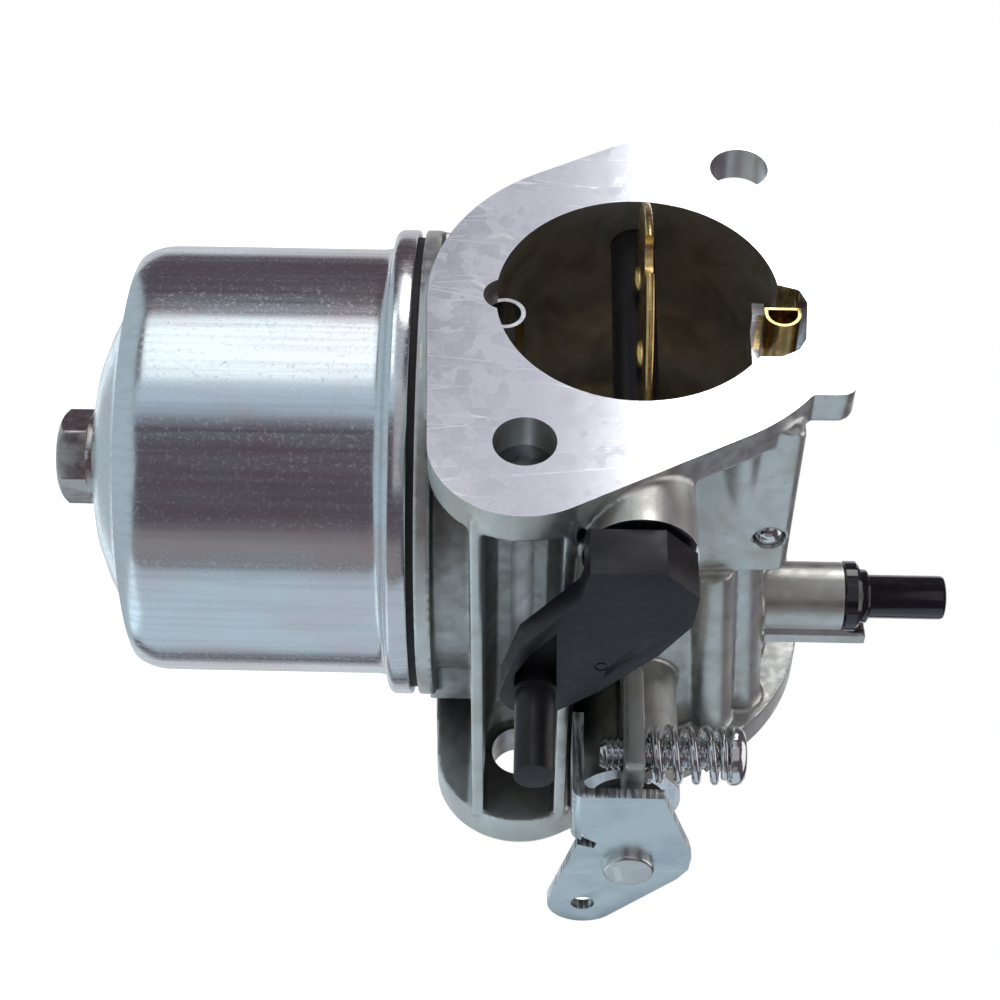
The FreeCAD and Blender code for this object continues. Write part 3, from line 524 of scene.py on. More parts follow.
class Effects:
    """Shader node groups that several finishes share, each made once."""

    def __init__(self) -> None:
        """Build every group."""
        self.grain = self._grain()
        self.lines = self._lines()
        self.scratches = self._scratches()
        self.edges = self._edges()
        self.stains = self._stains()
        self.cavity = self._cavity()

    @staticmethod
    def _grain() -> bpy.types.NodeTree:
        """Even grain at two scales, as on blasted castings and moulded plastic.

        Returns:
            The node group.
        """
        group, tree, put, out = new_group("fine_grain", {"Size": 0.3, "Coarse": 0.4}, ["Height", "Tone"])
        place = tree.node("TexCoord").outputs["Object"]
        scale = tree.maths("DIVIDE", 1000.0, put.outputs["Size"])
        fine = tree.node("TexNoise", {"Vector": place, "Scale": scale, "Detail": 2.0}).outputs[0]
        wide_scale = tree.maths("MULTIPLY", scale, 0.22)
        wide = tree.node("TexNoise", {"Vector": place, "Scale": wide_scale, "Detail": 3.0}).outputs[0]
        share = tree.maths("MULTIPLY", wide, put.outputs["Coarse"])
        tree.feed(out.inputs["Height"], tree.maths("ADD", fine, share))
        tree.feed(out.inputs["Tone"], wide)
        return group

    @staticmethod
    def _lines() -> bpy.types.NodeTree:
        """Fine drawn or brushed lines that run along Z.

        Returns:
            The node group.
        """
        group, tree, put, out = new_group("drawn_lines", {"Fine": 0.12, "Broad": 0.9, "Breaks": 12.0},
                                          ["Height", "Bands"])
        place = tree.node("TexCoord").outputs["Object"]
        split = tree.node("SeparateXYZ", {0: place})
        heights = []
        for width, detail in (("Fine", 2.0), ("Broad", 1.0)):
            scale = tree.maths("DIVIDE", 1000.0, put.outputs[width])
            along = tree.maths("DIVIDE", 1000.0, put.outputs["Breaks"])
            across = [tree.maths("MULTIPLY", split.outputs[number], scale) for number in (0, 1)]
            spot = tree.node("CombineXYZ", {0: across[0], 1: across[1],
                                            2: tree.maths("MULTIPLY", split.outputs[2], along)})
            heights.append(tree.node("TexNoise", {"Vector": spot.outputs[0], "Scale": 1.0,
                                                  "Detail": detail}).outputs[0])
        tree.feed(out.inputs["Height"], heights[0])
        tree.feed(out.inputs["Bands"], heights[1])
        return group

    @staticmethod
    def _scratches() -> bpy.types.NodeTree:
        """Sparse thin scratches and nicks that lie every way.

        Returns:
            The node group.
        """
        group, tree, put, out = new_group("scratches", {"Spacing": 6.0, "Thin": 0.02}, ["Mask"])
        place = tree.node("TexCoord").outputs["Object"]
        masks = []
        for turn, seed in ((0.4, 0.0), (1.7, 3.1), (2.6, 7.7)):
            moved = tree.node("Mapping", {"Vector": place, "Rotation": (turn, turn * 0.7, seed),
                                          "Location": (seed, seed * 0.3, 0.0), "Scale": (1.0, 1.0, 0.12)})
            scale = tree.maths("DIVIDE", 1000.0, put.outputs["Spacing"])
            cells = tree.node("TexVoronoi", {"Vector": moved.outputs[0], "Scale": scale},
                              feature="DISTANCE_TO_EDGE")
            line = tree.maths("LESS_THAN", cells.outputs["Distance"], put.outputs["Thin"])
            gate = tree.node("TexNoise", {"Vector": moved.outputs[0], "Scale": scale, "Detail": 1.0})
            masks.append(tree.maths("MULTIPLY", line, tree.ramp(gate.outputs[0], 0.55, 0.62)))
        total = tree.maths("MAXIMUM", masks[0], tree.maths("MAXIMUM", masks[1], masks[2]))
        tree.feed(out.inputs["Mask"], total)
        return group

    @staticmethod
    def _edges() -> bpy.types.NodeTree:
        """Mask of outer edges, where handling wears a finish bright.

        Returns:
            The node group.
        """
        group, tree, put, out = new_group("edge_wear", {"Width": 0.3, "Break_up": 0.5}, ["Mask"])
        radius = tree.maths("MULTIPLY", put.outputs["Width"], MM)
        soft = tree.node("Bevel", {"Radius": radius}, samples=4)
        sharp = tree.node("NewGeometry").outputs["Normal"]
        match = tree.node("VectorMath", {0: soft.outputs[0], 1: sharp}, operation="DOT_PRODUCT")
        edge = tree.ramp(match.outputs["Value"], 0.985, 0.88)
        place = tree.node("TexCoord").outputs["Object"]
        gate = tree.ramp(tree.noise(place, 900.0, 3.0), 0.35, 0.6)
        weight = tree.maths("MULTIPLY_ADD", gate, put.outputs["Break_up"],
                            tree.maths("SUBTRACT", 1.0, put.outputs["Break_up"]))
        tree.feed(out.inputs["Mask"], tree.maths("MULTIPLY", edge, weight, clamp=True))
        return group

    @staticmethod
    def _stains() -> bpy.types.NodeTree:
        """Soft blotches, from clouds to small spots.

        Returns:
            The node group.
        """
        group, tree, put, out = new_group("stains", {"Size": 8.0, "Spot_size": 1.0}, ["Clouds", "Spots"])
        place = tree.node("TexCoord").outputs["Object"]
        wide = tree.maths("DIVIDE", 1000.0, put.outputs["Size"])
        clouds = tree.node("TexNoise", {"Vector": place, "Scale": wide, "Detail": 4.0, "Distortion": 0.6})
        small = tree.maths("DIVIDE", 1000.0, put.outputs["Spot_size"])
        spots = tree.node("TexNoise", {"Vector": place, "Scale": small, "Detail": 2.0})
        tree.feed(out.inputs["Clouds"], clouds.outputs[0])
        tree.feed(out.inputs["Spots"], tree.ramp(spots.outputs[0], 0.66, 0.74))
        return group


    @staticmethod
    def _cavity() -> bpy.types.NodeTree:
        """Mask of recesses, for painting shade into them.

        Returns:
            The node group.
        """
        group, tree, put, out = new_group("cavity", {"Reach": 9.0, "Open": 0.8}, ["Mask"])
        reach = tree.maths("MULTIPLY", put.outputs["Reach"], MM)
        hidden = tree.node("AmbientOcclusion", {"Distance": reach}, samples=6).outputs["AO"]
        place = tree.node("TexCoord").outputs["Object"]
        uneven = tree.ramp(tree.noise(place, 380.0, 3.0), 0.3, 0.7, -0.08, 0.08)
        level = tree.maths("ADD", hidden, uneven)
        mask = tree.node("MapRange", {0: level, 1: put.outputs["Open"], 2: 0.15, 3: 0.0, 4: 1.0})
        tree.feed(out.inputs["Mask"], mask.outputs[0])
        return group


@dataclass(frozen=True)
class Finish:
    """What every finish has: a name, a colour, a metal share and a roughness."""

    name: str
    colour: tuple[float, float, float]
    metal: float = 1.0
    rough: float = 0.35
    bump: float = 0.1

    def start(self) -> tuple[bpy.types.Material, Tree, bpy.types.Node]:
        """Make the material with its shader.

        Returns:
            The material, the writer of its tree and its Principled BSDF.
        """
        material = bpy.data.materials.new(self.name)
        material.use_nodes = True
        material.node_tree.nodes.clear()
        tree = Tree(material.node_tree)
        shader = tree.node("BsdfPrincipled", {"Metallic": self.metal, "Roughness": self.rough,
                                              "Base Color": (*self.colour, 1.0)})
        tree.node("OutputMaterial", {"Surface": shader.outputs[0]})
        return material, tree, shader

    def group(self, tree: Tree, group: bpy.types.NodeTree, **values: float) -> bpy.types.Node:
        """Place a shared effect in a material.

        Args:
            tree: Writer of the material's tree.
            group: The effect.
            values: The effect's inputs in this material.

        Returns:
            The group's node.
        """
        node = tree.tree.nodes.new("ShaderNodeGroup")
        node.node_tree = group
        for key, value in values.items():
            node.inputs[key].default_value = value
        return node

    def relief(self, tree: Tree, shader: bpy.types.Node, height: bpy.types.NodeSocket, depth: float) -> None:
        """Feed a height to the shader's normal; the depth is in millimetres."""
        bump = tree.node("Bump", {"Strength": 1.0, "Distance": depth * MM, "Height": height})
        tree.feed(shader.inputs["Normal"], bump.outputs[0])


@dataclass(frozen=True)
class CastSkin(Finish):
    """Blasted skin of a die casting, with painted shade darkening its recesses."""

    grain: float = 0.35
    # Share of the colour kept in recesses; the darkening there is painted shade.
    recess_shade: float = 0.2

    def build(self, effects: Effects) -> bpy.types.Material:
        """Make the material.

        Args:
            effects: The shared effects.

        Returns:
            The material.
        """
        material, tree, shader = self.start()
        grain = self.group(tree, effects.grain, Size=self.grain, Coarse=0.9)
        stains = self.group(tree, effects.stains, Size=9.0, Spot_size=0.9)
        base = (*self.colour, 1.0)
        dark = (*(share * 0.7 for share in self.colour), 1.0)
        warm = (self.colour[0] * 0.86, self.colour[1] * 0.83, self.colour[2] * 0.78, 1.0)
        tone = tree.mix(tree.ramp(stains.outputs["Clouds"], 0.4, 0.66), base, warm)
        tone = tree.mix(tree.maths("MULTIPLY", stains.outputs["Spots"], 0.5), tone, dark)
        wear = self.group(tree, effects.edges, Width=0.5, Break_up=0.7)
        bright = (*(min(1.0, share * 1.5) for share in self.colour), 1.0)
        tone = tree.mix(tree.maths("MULTIPLY", wear.outputs["Mask"], 0.6), tone, bright)
        # Painted shade: recesses found by an occlusion mask are darkened towards a dim copy of the colour.
        recess = self.group(tree, effects.cavity, Reach=14.0, Open=0.72)
        recess_shade = (*(share * self.recess_shade for share in self.colour), 1.0)
        tone = tree.mix(recess.outputs["Mask"], tone, recess_shade)
        tree.feed(shader.inputs["Base Color"], tone)
        rough = tree.ramp(grain.outputs["Tone"], 0.3, 0.7, self.rough - 0.07, self.rough + 0.07)
        tree.feed(shader.inputs["Roughness"], rough)
        self.relief(tree, shader, grain.outputs["Height"], self.bump)
        return material


@dataclass(frozen=True)
class MachinedFace(Finish):
    """Milled and lapped alloy with faint swirls, clouds and scratches."""

    crystal: float = 1.7

    def build(self, effects: Effects) -> bpy.types.Material:
        """Make the material.

        Args:
            effects: The shared effects.

        Returns:
            The material.
        """
        material, tree, shader = self.start()
        place = tree.node("TexCoord").outputs["Object"]
        flake_place = tree.node("Mapping", {"Vector": place, "Scale": (1.0, 0.2, 1.0)}).outputs[0]
        warp = tree.noise(flake_place, 220.0, 3.0)
        drift = tree.node("TexNoise", {"Vector": flake_place, "Scale": 500.0, "Detail": 2.0}).outputs[1]
        bent = tree.mix(0.0016, flake_place, drift, "ADD")
        flakes = tree.node("TexVoronoi", {"Vector": bent, "Scale": 1000.0 / self.crystal, "Randomness": 1.0})
        crystal = tree.node("SeparateXYZ", {0: flakes.outputs["Color"]}).outputs[0]
        swirl = tree.node("TexWave", {"Vector": flake_place, "Scale": 260.0, "Distortion": 9.0,
                                      "Detail": 3.0, "Detail Scale": 1.4},
                          wave_type="RINGS", rings_direction="Y").outputs[1]
        fine = tree.noise(flake_place, 2600.0, 3.0, 0.7, 1.2)
        scratch = self.group(tree, effects.scratches, Spacing=2.6, Thin=0.014)
        cloud = tree.maths("ADD", tree.maths("MULTIPLY", warp, 0.5), tree.maths("MULTIPLY", crystal, 0.28))
        cloud = tree.maths("ADD", cloud, tree.maths("MULTIPLY", fine, 0.45))
        base = (*self.colour, 1.0)
        shadow = (self.colour[0] * 0.7, self.colour[1] * 0.72, self.colour[2] * 0.76, 1.0)
        tone = tree.mix(tree.ramp(cloud, 0.42, 0.78), shadow, base)
        wear = self.group(tree, effects.edges, Width=0.25, Break_up=0.8)
        mask = tree.maths("MAXIMUM", scratch.outputs["Mask"], wear.outputs["Mask"])
        tone = tree.mix(mask, tone, (1.0, 1.0, 1.0, 1.0))
        tree.feed(shader.inputs["Base Color"], tone)
        rough = tree.ramp(cloud, 0.4, 0.9, self.rough + 0.06, self.rough - 0.04)
        tree.feed(shader.inputs["Roughness"], rough)
        height = tree.maths("ADD", tree.maths("MULTIPLY", swirl, 0.25), tree.maths("MULTIPLY", fine, 0.75))
        height = tree.maths("SUBTRACT", height, tree.maths("MULTIPLY", scratch.outputs["Mask"], 0.7))
        self.relief(tree, shader, height, self.bump)
        return material


@dataclass(frozen=True)
class BoredWall(Finish):
    """Turned wall of a bore, with fine rings across it."""

    pitch: float = 0.25

    def build(self, effects: Effects) -> bpy.types.Material:
        """Make the material.

        Args:
            effects: The shared effects.

        Returns:
            The material.
        """
        material, tree, shader = self.start()
        place = tree.node("TexCoord").outputs["Object"]
        rings = tree.node("TexWave", {"Vector": place, "Scale": 1000.0 / (self.pitch * 6.3),
                                      "Distortion": 0.6, "Detail": 1.0},
                          wave_type="BANDS", bands_direction="Y").outputs[1]
        stains = self.group(tree, effects.stains, Size=7.0, Spot_size=0.7)
        base = (*self.colour, 1.0)
        dull = (self.colour[0] * 0.6, self.colour[1] * 0.56, self.colour[2] * 0.5, 1.0)
        tone = tree.mix(tree.ramp(stains.outputs["Clouds"], 0.35, 0.7), base, dull)
        tree.feed(shader.inputs["Base Color"], tone)
        rough = tree.ramp(stains.outputs["Clouds"], 0.3, 0.7, self.rough - 0.05, self.rough + 0.1)
        tree.feed(shader.inputs["Roughness"], rough)
        self.relief(tree, shader, rings, self.bump)
        return material


@dataclass(frozen=True)
class DrawnPlate(Finish):
    """Bright zinc on drawn sheet, with lines along the draw, scuffs and a faint chromate tint."""

    tint: tuple[float, float, float] = (0.84, 0.8, 0.82)

    def build(self, effects: Effects) -> bpy.types.Material:
        """Make the material.

        Args:
            effects: The shared effects.

        Returns:
            The material.
        """
        material, tree, shader = self.start()
        lines = self.group(tree, effects.lines, Fine=0.14, Broad=0.8, Breaks=30.0)
        stains = self.group(tree, effects.stains, Size=16.0, Spot_size=0.55)
        scratch = self.group(tree, effects.scratches, Spacing=11.0, Thin=0.006)
        place = tree.node("TexCoord").outputs["Object"]
        speckle = tree.ramp(tree.noise(place, 2100.0, 2.0, 0.7), 0.55, 0.68)
        cloud = tree.ramp(stains.outputs["Clouds"], 0.4, 0.68)
        tone = tree.mix(cloud, (*self.colour, 1.0), (*self.tint, 1.0))
        streak = tree.ramp(lines.outputs["Bands"], 0.42, 0.66, 0.0, 0.22)
        dull = (*(share * 0.7 for share in self.colour), 1.0)
        tone = tree.mix(streak, tone, dull)
        tone = tree.mix(tree.maths("MULTIPLY", speckle, 0.2), tone, (1.0, 1.0, 1.0, 1.0))
        tree.feed(shader.inputs["Base Color"], tone)
        rough = tree.ramp(lines.outputs["Bands"], 0.3, 0.7, self.rough - 0.03, self.rough + 0.05)
        frost = tree.maths("MULTIPLY", tree.maths("ADD", speckle, stains.outputs["Spots"]), 0.1)
        tree.feed(shader.inputs["Roughness"], tree.maths("ADD", rough, frost))
        height = tree.maths("ADD", lines.outputs["Height"], tree.maths("MULTIPLY", speckle, 0.4))
        height = tree.maths("SUBTRACT", height, tree.maths("MULTIPLY", scratch.outputs["Mask"], 0.8))
        self.relief(tree, shader, height, self.bump)
        return material


@dataclass(frozen=True)
class PlainMetal(Finish):
    """Cut, ground or plated metal with grain, worn edges and stains of a second colour."""

    stain: tuple[float, float, float] = (0.5, 0.5, 0.5)
    stain_share: float = 0.3
    grain: float = 0.2

    def build(self, effects: Effects) -> bpy.types.Material:
        """Make the material.

        Args:
            effects: The shared effects.

        Returns:
            The material.
        """
        material, tree, shader = self.start()
        grain = self.group(tree, effects.grain, Size=self.grain, Coarse=0.6)
        stains = self.group(tree, effects.stains, Size=3.5, Spot_size=0.5)
        scratch = self.group(tree, effects.scratches, Spacing=4.0, Thin=0.012)
        mask = tree.maths("MULTIPLY", tree.ramp(stains.outputs["Clouds"], 0.42, 0.68), self.stain_share)
        tone = tree.mix(mask, (*self.colour, 1.0), (*self.stain, 1.0))
        wear = self.group(tree, effects.edges, Width=0.18, Break_up=0.5)
        bright = (*(min(1.0, share * 1.25 + 0.05) for share in self.colour), 1.0)
        shine = tree.maths("MAXIMUM", tree.maths("MULTIPLY", wear.outputs["Mask"], 0.8),
                           tree.maths("MULTIPLY", scratch.outputs["Mask"], 0.6))
        tree.feed(shader.inputs["Base Color"], tree.mix(shine, tone, bright))
        rough = tree.ramp(grain.outputs["Tone"], 0.3, 0.7, self.rough - 0.05, self.rough + 0.07)
        tree.feed(shader.inputs["Roughness"], rough)
        self.relief(tree, shader, grain.outputs["Height"], self.bump)
        return material


@dataclass(frozen=True)
class MouldedPlastic(Finish):
    """Moulded plastic or rubber with a fine skin and rubbed edges."""

    grain: float = 0.25
    rub: float = 0.35
    coat: float = 0.0

    def build(self, effects: Effects) -> bpy.types.Material:
        """Make the material.

        Args:
            effects: The shared effects.

        Returns:
            The material.
        """
        material, tree, shader = self.start()
        grain = self.group(tree, effects.grain, Size=self.grain, Coarse=0.8)
        stains = self.group(tree, effects.stains, Size=6.0, Spot_size=0.45)
        wear = self.group(tree, effects.edges, Width=0.3, Break_up=0.8)
        base = (*self.colour, 1.0)
        grey = (*(min(1.0, share * 2.2 + 0.03) for share in self.colour), 1.0)
        share = tree.maths("ADD", tree.maths("MULTIPLY", wear.outputs["Mask"], self.rub),
                           tree.maths("MULTIPLY", stains.outputs["Spots"], 0.25), clamp=True)
        cloud = tree.ramp(stains.outputs["Clouds"], 0.45, 0.8, 0.0, 0.3)
        share = tree.maths("ADD", share, cloud, clamp=True)
        tree.feed(shader.inputs["Base Color"], tree.mix(share, base, grey))
        rough = tree.ramp(grain.outputs["Tone"], 0.3, 0.7, self.rough - 0.05, self.rough + 0.08)
        tree.feed(shader.inputs["Roughness"], rough)
        if self.coat:
            shader.inputs["Coat Weight"].default_value = self.coat
            shader.inputs["Coat Roughness"].default_value = 0.06
        self.relief(tree, shader, grain.outputs["Height"], self.bump)
        return material


@dataclass(frozen=True)
class ShearedSheet(Finish):
    """Zinc-plated sheet: a pale brushed face and bright torn lines on the sheared edges."""

    def build(self, effects: Effects) -> bpy.types.Material:
        """Make the material.

        Args:
            effects: The shared effects.

        Returns:
            The material.
        """
        material, tree, shader = self.start()
        grain = self.group(tree, effects.grain, Size=0.22, Coarse=0.7)
        stains = self.group(tree, effects.stains, Size=7.0, Spot_size=0.7)
        scratch = self.group(tree, effects.scratches, Spacing=5.0, Thin=0.01)
        flat = tree.node("SeparateXYZ", {0: tree.node("NewGeometry").outputs["Normal"]}).outputs[0]
        side = tree.ramp(tree.maths("ABSOLUTE", flat), 0.75, 0.45)
        tear = tree.noise(tree.stretched((250.0, 2600.0, 2600.0)), 1.0, 3.0, 0.65)
        base = (*self.colour, 1.0)
        dim = (self.colour[0] * 0.8, self.colour[1] * 0.84, self.colour[2] * 0.88, 1.0)
        tone = tree.mix(tree.ramp(stains.outputs["Clouds"], 0.4, 0.7), base, dim)
        tone = tree.mix(tree.maths("MULTIPLY", scratch.outputs["Mask"], 0.5), tone, (1.0, 1.0, 1.0, 1.0))
        torn = tree.mix(tree.ramp(tear, 0.4, 0.62), (0.25, 0.27, 0.28, 1.0), (0.95, 1.0, 1.0, 1.0))
        tree.feed(shader.inputs["Base Color"], tree.mix(side, tone, torn))
        rough = tree.ramp(grain.outputs["Tone"], 0.3, 0.7, self.rough - 0.06, self.rough + 0.06)
        tree.feed(shader.inputs["Roughness"], rough)
        lift = tree.maths("MULTIPLY", tree.maths("MULTIPLY", tear, side), 3.0)
        self.relief(tree, shader, tree.maths("ADD", grain.outputs["Height"], lift), self.bump)
        return material


class Paint:
    """All finishes of the object, built once and handed out by name."""

    FINISHES: tuple[Finish, ...] = (
        CastSkin("cast_skin", (0.74, 0.765, 0.74), metal=0.9, rough=0.38, bump=0.014),
        MachinedFace("milled_face", (0.93, 0.93, 0.95), rough=0.13, bump=0.0007),
        BoredWall("bored_wall", (0.74, 0.75, 0.75), metal=0.85, rough=0.36, bump=0.0015),
        DrawnPlate("zinc_bowl", (0.84, 0.92, 0.95), rough=0.2, bump=0.0012),
        PlainMetal("bolt_steel", (0.6, 0.58, 0.55), rough=0.25, bump=0.01, stain=(0.35, 0.22, 0.14)),
        PlainMetal("bright_steel", (0.82, 0.83, 0.84), rough=0.14, bump=0.004, stain=(0.55, 0.55, 0.56)),
        PlainMetal("ground_pin", (0.72, 0.73, 0.72), rough=0.24, bump=0.005),
        PlainMetal("brass", (0.83, 0.6, 0.24), rough=0.24, bump=0.008, stain=(0.45, 0.28, 0.12),
                   stain_share=0.55),
        ShearedSheet("zinc_sheet", (0.74, 0.82, 0.83), rough=0.36, bump=0.004),
        MouldedPlastic("black_nylon", (0.008, 0.0075, 0.011), metal=0.0, rough=0.36, bump=0.004, rub=0.25),
        MouldedPlastic("gloss_black", (0.008, 0.008, 0.011), metal=0.0, rough=0.14, bump=0.004, coat=0.6,
                       rub=0.1),
        MouldedPlastic("black_rubber", (0.02, 0.02, 0.02), metal=0.0, rough=0.6, bump=0.02),
        MouldedPlastic("red_fibre", (0.3, 0.1, 0.06), metal=0.0, rough=0.7, bump=0.03),
        MouldedPlastic("float_shell", (0.05, 0.045, 0.04), metal=0.0, rough=0.35, bump=0.02),
        MouldedPlastic("felt", (0.06, 0.06, 0.055), metal=0.0, rough=0.9, bump=0.08, grain=0.4),
    )

    def __init__(self) -> None:
        """Build the shared effects and every finish."""
        effects = Effects()
        self.made = {finish.name: finish.build(effects) for finish in self.FINISHES}

    def dress(self, piece: bpy.types.Object, name: str) -> bpy.types.Object:
        """Give a piece one material all over.

        Args:
            piece: The piece.
            name: The finish.

        Returns:
            The piece.
        """
        piece.data.materials.clear()
        piece.data.materials.append(self.made[name])
        return piece

    def dress_node(self, node: str, name: str) -> None:
        """Give a CAD node one material in its object's slots.

        Args:
            node: The node's name.
            name: The finish.
        """
        item = bpy.data.objects[node]
        if not item.material_slots:
            item.data.materials.append(None)
        for slot in item.material_slots:
            slot.link = "OBJECT"
            slot.material = self.made[name]


# The object


@dataclass(frozen=True)
class Drill:
    """A straight hole: its radius, where it starts and ends on its axis, and a point on that axis."""

    name: str
    radius: float
    low: float
    high: float
    through: Point3
    axis: Axis

    def tool(self) -> bpy.types.Object:
        """Make the cylinder that cuts it."""
        return rod(self.name, self.radius, self.low, self.high, self.through, self.axis, 64)


@dataclass
class Casting:
    """The cast body: rounded as cast, then machined sharp where it fits something."""

    paint: Paint
    voxel: float = 0.3
    smoothing: int = 5
    bore_r: float = 16.0
    venturi_r: float = 11.8
    throttle_r: float = 14.0
    length: float = 63.3
    straight_end: float = 13.0
    throat_y: float = 26.5
    diffuser_length: float = 12.5
    flange_t: float = 4.4
    rear_flange_t: float = 4.8
    disc_r: float = 23.7
    lobe_r: float = 10.4
    stud_distance: float = 25.4
    stud_angle: float = 29.3
    stud_r: float = 3.46
    corner: Point2 = (14.6, 23.5)
    corner_round: float = 2.0
    choke_y: float = 7.0
    choke_boss: Point2 = (6.2, 32.0)
    throttle_at: Point2 = (47.5, 0.4)
    throttle_boss: Point2 = (6.3, 36.0)
    inlet_at: Point2 = (10.0, 41.0)
    tower: Point2 = (4.2, 26.9)
    idle_at: Point2 = (38.0, 35.0)
    idle_r: float = 2.0
    bleed_at: Point2 = (-0.1, -15.0)
    bleed_r: float = 2.42
    bleed_depth: float = 11.0
    pocket_depth: float = 7.6
    pocket: tuple[Point2, ...] = ((-2.3, -3.5), (-2.3, 0.0), (-1.6, 2.2), (0.4, 3.0), (6.2, 2.5), (7.9, 1.6),
                                  (9.0, -0.4), (9.0, -3.5))
    wall_x: Point2 = (-4.2, 6.2)
    wall_y: Point2 = (4.8, 11.6)
    wall_z: Point2 = (13.4, 14.8)
    wall_top: float = 18.0
    proud: float = 1.2
    past: float = 3.0
    skin_faces: int = 90000

    def stud_places(self) -> list[Point2]:
        """Find the two stud holes.

        Returns:
            Their centres, as X and Z.
        """
        turn = math.radians(self.stud_angle)
        x, z = self.stud_distance * math.cos(turn), self.stud_distance * math.sin(turn)
        return [(x, -z), (-x, z)]

    def flange_outline(self, disc_r: float) -> list[Point2]:
        """Outline of a flange: a disc with two lobes round the studs."""
        lobes = [(place, self.lobe_r) for place in self.stud_places()]
        return hull_outline([((0.0, 0.0), disc_r)] + lobes)

    def fillers(self) -> list[bpy.types.Object]:
        """Make the solids that stand proud of every machined place until it is cut.

        Returns:
            Closed solids to fuse to the casting.
        """
        proud = self.proud
        sunk = 2.0
        wall = 0.6
        front = prism("front", self.flange_outline(self.disc_r), -proud, sunk, Axis.Y)
        right, top = self.corner
        left = 1.6 - right
        square = rounded([(left, 0), (right, 0), (right, top), (left, top)], self.corner_round)
        corner = prism("corner", square, -proud, sunk, Axis.Y)
        rear_outline = self.flange_outline(self.disc_r + 0.3)
        rear = prism("rear", rear_outline, self.length - sunk, self.length + proud, Axis.Y)
        plug = rod("plug", self.bore_r + wall, -proud, self.length + proud, (0, 0, 0), Axis.Y)
        solids = [front, corner, rear, plug]
        ends = ((-proud, self.flange_t), (self.length - self.rear_flange_t, self.length + proud))
        for x, z in self.stud_places():
            solids += [rod("stud", self.stud_r + wall, low, high, (x, 0, z), Axis.Y) for low, high in ends]
        outline = [(x, self.bore_r + z) for x, z in self.pocket]
        solids.append(prism("pocket", outline, -proud, self.pocket_depth + wall, Axis.Y))
        x, z = self.bleed_at
        solids.append(rod("bleed", self.bleed_r + wall, -proud, self.bleed_depth, (x, 0, z), Axis.Y))
        radius, end = self.choke_boss
        solids.append(rod("choke_end", radius, end - 4, end + proud, (0, self.choke_y, 0), Axis.X))
        radius, end = self.throttle_boss
        y, z = self.throttle_at
        solids.append(rod("throttle_end", radius, end - 10, end + proud, (0, y, z), Axis.X))
        radius, end = self.tower
        solids.append(rod("tower", radius, end - 7, end + proud, (*self.inlet_at, 0), Axis.Z))
        return solids

    def rough_casting(self) -> bpy.types.Object:
        """Fuse the CAD form and the fillers, and round them as a casting is rounded.

        Returns:
            The casting before machining.
        """
        raw = joined("cast_body", [from_node("carburetor_body", "raw")] + self.fillers())
        remesh = raw.modifiers.new("skin", "REMESH")
        remesh.mode = "VOXEL"
        remesh.voxel_size = self.voxel * MM
        remesh.adaptivity = 0.0
        smooth = raw.modifiers.new("round", "SMOOTH")
        smooth.factor = 0.5
        smooth.iterations = self.smoothing
        applied(raw)
        thin = raw.modifiers.new("thin", "DECIMATE")
        thin.ratio = min(1.0, self.skin_faces / (2 * len(raw.data.polygons)))
        applied(raw)
        self.paint.dress(raw, "cast_skin")
        return raw

    def throat(self) -> bpy.types.Object:
        """Make the tool for the air passage: straight, curved in to the venturi, then out again.

        Returns:
            A closed turned solid, longer than the body at both ends.
        """
        rise = self.bore_r - self.venturi_r
        profile = [(0.0, -self.past), (self.bore_r, -self.past)]
        steps = 10
        for step in range(steps + 1):
            share = step / steps
            height = self.straight_end + (self.throat_y - self.straight_end) * share
            profile.append((self.bore_r - rise * (1 - math.cos(math.pi * share)) / 2, height))
        profile.append((self.throttle_r, self.throat_y + self.diffuser_length))
        profile += [(self.throttle_r, self.length + self.past), (0.0, self.length + self.past)]
        return lathe("throat", profile, (0, 0, 0), Axis.Y, 160)

    def machine_tools(self) -> list[bpy.types.Object]:
        """Make the cutters that leave milled faces.

        Returns:
            Closed solids to cut away.
        """
        far = 60.0
        flange_stock = 9.0
        boss_stock = 4.0
        overlap = 1.6
        tower_overlap = 0.16
        pocket_corner = 0.9
        tools = [
            block("front_cut", (-far, -flange_stock, -far), (far, 0, far)),
            block("rear_cut", (-far, self.length, -far), (far, self.length + flange_stock, far)),
        ]
        radius, end = self.choke_boss
        tools.append(rod("boss_cut", radius + overlap, end, end + boss_stock, (0, self.choke_y, 0), Axis.X))
        radius, end = self.throttle_boss
        y, z = self.throttle_at
        tools.append(rod("boss_cut", radius + overlap, end, end + boss_stock, (0, y, z), Axis.X))
        radius, end = self.tower
        tower = (*self.inlet_at, 0)
        tools.append(rod("tower_cut", radius + tower_overlap, end, end + boss_stock, tower, Axis.Z))
        outline = rounded([(x, self.bore_r + z) for x, z in self.pocket], pocket_corner)
        tools.append(prism("pocket_cut", outline, -self.past, self.pocket_depth, Axis.Y))
        return tools

